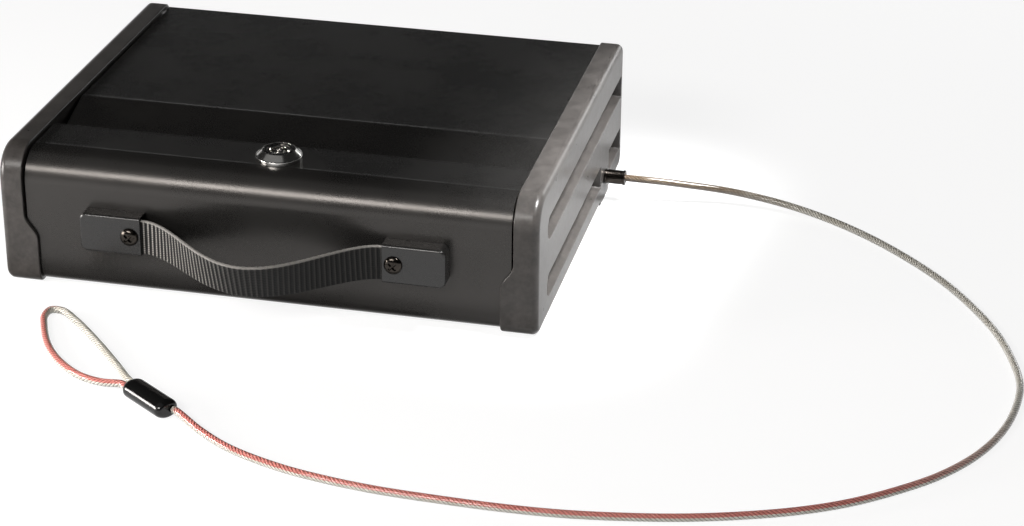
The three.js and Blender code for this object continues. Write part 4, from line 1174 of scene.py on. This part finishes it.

# %% [markdown]
# ## Webbing
# The ribs are in the mesh. Between them the yarns run lengthwise in fine bundles that dive under
# each rib, so the material adds narrow ridges across the width and a twist in each bundle. The
# gaps are painted nearly black, as shade between the ribs. The crests carry painted light: pale on
# the left half, which faces the light, and dark on the right, which faces away from it. The upper
# selvage carries a painted highlight all along.

# %% Ribbed webbing
webbing = Finish("ribbed webbing", ior=1.36, sheen_weight=0.05, sheen_roughness=0.4)
bundle_width, twist_pitch = 0.0011, 0.00075
across, along, _ = Value(add(webbing.tree, "ShaderNodeUVMap")).parts()
cloud, fine = webbing.use(cloudy, 8.0, 0.3)
bundles = across * (2 * math.pi / bundle_width)
twist = (along * (2 * math.pi / twist_pitch) + bundles).math("SINE")
yarn = twist * 0.35 + (bundles.math("SINE") + fine)
left_half = where(webbing.tree).parts()[0].ranged(-0.034, 0.0, 1.0, 0.0)
# Painted light: the crests are pale where the strap's left half faces the light from the left.
painted_light_left = (cloud * 0.8 + yarn).ranged(-0.8, 2.0) * left_half
lit = painted_light_left.mixed((0.038, 0.0365, 0.0345), (0.46, 0.445, 0.42))
# The crests' colour is painted light, and the gaps' near black is painted shade between the ribs.
crest = (along * (2000 * math.pi / rib_pitch)).math("COSINE").ranged(0.15, 0.95)
ribs = crest.mixed((0.0022, 0.0022, 0.0021), lit)
# A painted highlight along the upper selvage.
selvage = across.ranged(0.0085, 0.0094) * fine.ranged(0.3, 0.6, 0.5, 1.0)
webbing.has(base_color=selvage.mixed(ribs, (0.34, 0.328, 0.31)),
            roughness=fine.ranged(0.3, 0.7, 0.5, 0.7))
webbing.bump(yarn, 0.05)

# %% [markdown]
# The liner pad is dark foam with small open cells at its cut face, deep enough to shade
# themselves.

# %% Closed cell foam
foam = Finish("closed cell foam")
cloud, fine = foam.use(cloudy, 25.0, 0.8)
height, = foam.use(peel, 0.8, 0.6)
foam.has(base_color=fine.ranged(0.35, 0.65).mixed((0.016, 0.016, 0.018), (0.032, 0.032, 0.034)),
         roughness=cloud.ranged(0.3, 0.7, 0.85, 0.95))
foam.bump(height, 0.15)

# %% [markdown]
# ## Braided cable
# Under its clear jacket the tether is a steel rope: six strands laid round a core, each of fine
# wires that cross it the other way. On the tube's UV a strand is a stripe that climbs with the
# length, and its wires are finer stripes; the gaps between them are painted dark, as shade. Near
# the gland the steel is darker and browner. Along the far half one side carries a red tracer,
# which is turned away on the loop's first leg. The jacket is the shader's clear coat, so it stays
# smooth over the strands.

# %% Braided steel cable
braid = Finish("jacketed steel rope", coat_weight=1.0, coat_roughness=0.06)
around, along, _ = Value(add(braid.tree, "ShaderNodeUVMap")).parts()
strands, pitch = 6.0, 0.0135
strand = abs(((around * strands + along * (strands / pitch)) * math.pi).math("SINE"))
wire = abs(((around * -20.0 + along * 2600.0) * math.pi).math("SINE"))
rope = wire * 0.25 + strand
cloud, _ = braid.use(cloudy, 12.0, 0.8)
# The dark end of this mix is painted shade in the gaps between strands and wires.
steel = rope.ranged(0.18, 0.6).mixed((0.07, 0.06, 0.042), (1.0, 0.97, 0.87))
steel = cloud.ranged(0.45, 0.65, 0.0, 0.3).mixed(steel, (0.6, 0.53, 0.4))
# The steel is made darker and browner towards the gland.
darker_near_gland = cloud * 0.4 + along.ranged(0.03, 0.15, 0.85, -0.3)
steel = darker_near_gland.ranged(0.0, 1.0).mixed(steel, (0.13, 0.09, 0.055))
crimp = cable_along[-1] * 0.001
first_leg = along.ranged(crimp - 0.004, crimp) * along.ranged(crimp + 0.115, crimp + 0.095)
marked = along.ranged(0.36, 0.5) * (first_leg * -1.0 + 1.0)
tracer = abs(around - 0.335 + strand * 0.03).ranged(0.15, 0.11) * marked
# The tracer's darker red is painted shade in the same gaps.
red = rope.ranged(0.15, 0.75).mixed((0.34, 0.05, 0.045), (0.95, 0.33, 0.28))
braid.has(base_color=tracer.mixed(steel, red), metallic=tracer * -0.12 + 0.12,
          roughness=rope.ranged(0.1, 0.9, 0.5, 0.28))
braid.bump(rope, 0.35)

# %% [markdown]
# Each piece was noted with its slot when it was made, so the finishes are handed out in one loop.
# The CAD nodes that still show take the finish that the record names for them.

# %% Finishes on their pieces
finish_by_slot = {
    "body_paint": coat, "cap_plastic": moulding, "zinc_steel": zinc, "lock_chrome": chrome,
    "lock_casting": dark_nickel, "black_chrome": black_chrome, "cover_plastic": gloss,
    "webbing": webbing, "liner_foam": foam, "cable_steel": braid, "ferrule_sleeve": sleeve,
}
for made, slot in dressed:
    made.data.materials.append(finish_by_slot[slot].material)
slot_by_node = {part["node"]: part["material_slot"] for part in frame["record"]["subparts"]}
for name, made in frame["nodes"].items():
    for socket in made.material_slots:
        socket.material = finish_by_slot[slot_by_node[name]].material
print(len(finish_by_slot), "finishes")

# %% [markdown]
# # Floor and light
# The photograph is a cut-out on white, so the floor is a plain pale plane that looks white to the
# camera. In reflections a strip of it close round the safe is dark, as the floor there lies in
# the safe's own shade, and the rest is as pale as the room.

# %% Floor
def rays(tree):
    """Whether the camera's ray asks, whether a glossy one does, and whether either of them or a
    transmitted one does."""
    paths = add(tree, "ShaderNodeLightPath")
    kinds = ("Camera", "Glossy", "Transmission")
    straight, glossy, through = (Value(paths, f"Is {kind} Ray") for kind in kinds)
    return straight, glossy, straight.math("MAXIMUM", glossy.math("MAXIMUM", through))


floor_mesh = bpy.data.meshes.new("floor")
corners = [(x, y, -0.0002) for x, y in ((-9, -9), (9, -9), (9, 9), (-9, 9))]
floor_mesh.from_pydata(corners, [], [(0, 1, 2, 3)])
floor = linked(floor_mesh)
pale = Finish("pale floor", base_color=(0.26, 0.26, 0.26, 1), roughness=1.0, specular_ior_level=0.0,
              emission_color=(1, 1, 1, 1))
_, glossy, seen = rays(pale.tree)
across, deep, _ = where(pale.tree).parts()
gap = (abs(across) - 0.148).math("MAXIMUM", abs(deep - 0.021) - 0.115)
shade = gap.ranged(-0.002, 0.004) * gap.ranged(0.036, 0.026) * glossy
pale.has(emission_strength=seen * (shade * -0.84 + 0.86))
floor_mesh.materials.append(pale.material)

# %% [markdown]
# The world is white for the camera. For reflections it is a pale room up to about ten degrees
# above the horizon and dark above, because the photograph's lid mirrors a dark ceiling.

# %% World
bpy.context.scene.view_settings.view_transform = "Standard"
world = bpy.data.worlds.new("studio")
bpy.context.scene.world = world
world.use_nodes = True
straight, _, seen = rays(world.node_tree)
room = where(world.node_tree, "Generated").parts()[2].ranged(0.03, 0.2, 1.0, 0.02)
strength = straight.math("MAXIMUM", room) * seen.ranged(0.0, 1.0, 0.45, 1.0)
fill(world.node_tree.nodes["Background"], {"Color": (1, 1, 1, 1), "Strength": strength})

# %% [markdown]
# All lamps are soft boxes. The front one draws the band along the nose, the left one lights the
# front from the side, the key and the rim light the right cap, and the last two are faint.

# %% Lamps
def soft_lamp(name, at, target, size, power, beam=180.0, colour=(1, 1, 1)):
    """A softbox that looks at a point of the safe. The beam is its grid's opening in degrees."""
    lamp = bpy.data.lights.new(name, "AREA")
    lamp.shape = "RECTANGLE"
    lamp.size, lamp.size_y = size
    lamp.energy = power
    lamp.color = colour
    lamp.spread = math.radians(beam)
    away = unit(np.subtract(at, target))
    side = unit(np.cross([0.0, 0.0, 1.0], away))
    made = linked(lamp)
    aim(made, side, np.cross(away, side), away, at)
    made.visible_camera = False


soft_lamp("right key", (0.266, 0.0, 0.33), (0.166, 0.015, 0.06), (0.24, 0.08), 0.34, beam=27.0)
soft_lamp("right rear rim", (0.52, 0.86, 0.27), (0.14, 0.0, 0.06), (0.4, 0.22), 0.3, beam=100.0)
soft_lamp("front softbox", (-0.37, -1.12, 0.81), (-0.06, -0.1, 0.05), (0.66, 0.24), 9.4,
          colour=(1.0, 0.965, 0.935))
soft_lamp("left fill", (-0.62, -0.36, 0.15), (0.0, -0.1, 0.05), (0.3, 0.2), 4.4,
          colour=(1.0, 0.955, 0.92))
soft_lamp("rear edge light", (-0.5, 1.6, 0.29), (0.0, -0.05, 0.075), (0.9, 0.14), 0.3)
soft_lamp("overhead", (-0.5, -1.0, 2.1), (0.0, -0.2, 0.0), (4.0, 2.0), 4.5)
print("lamps set")
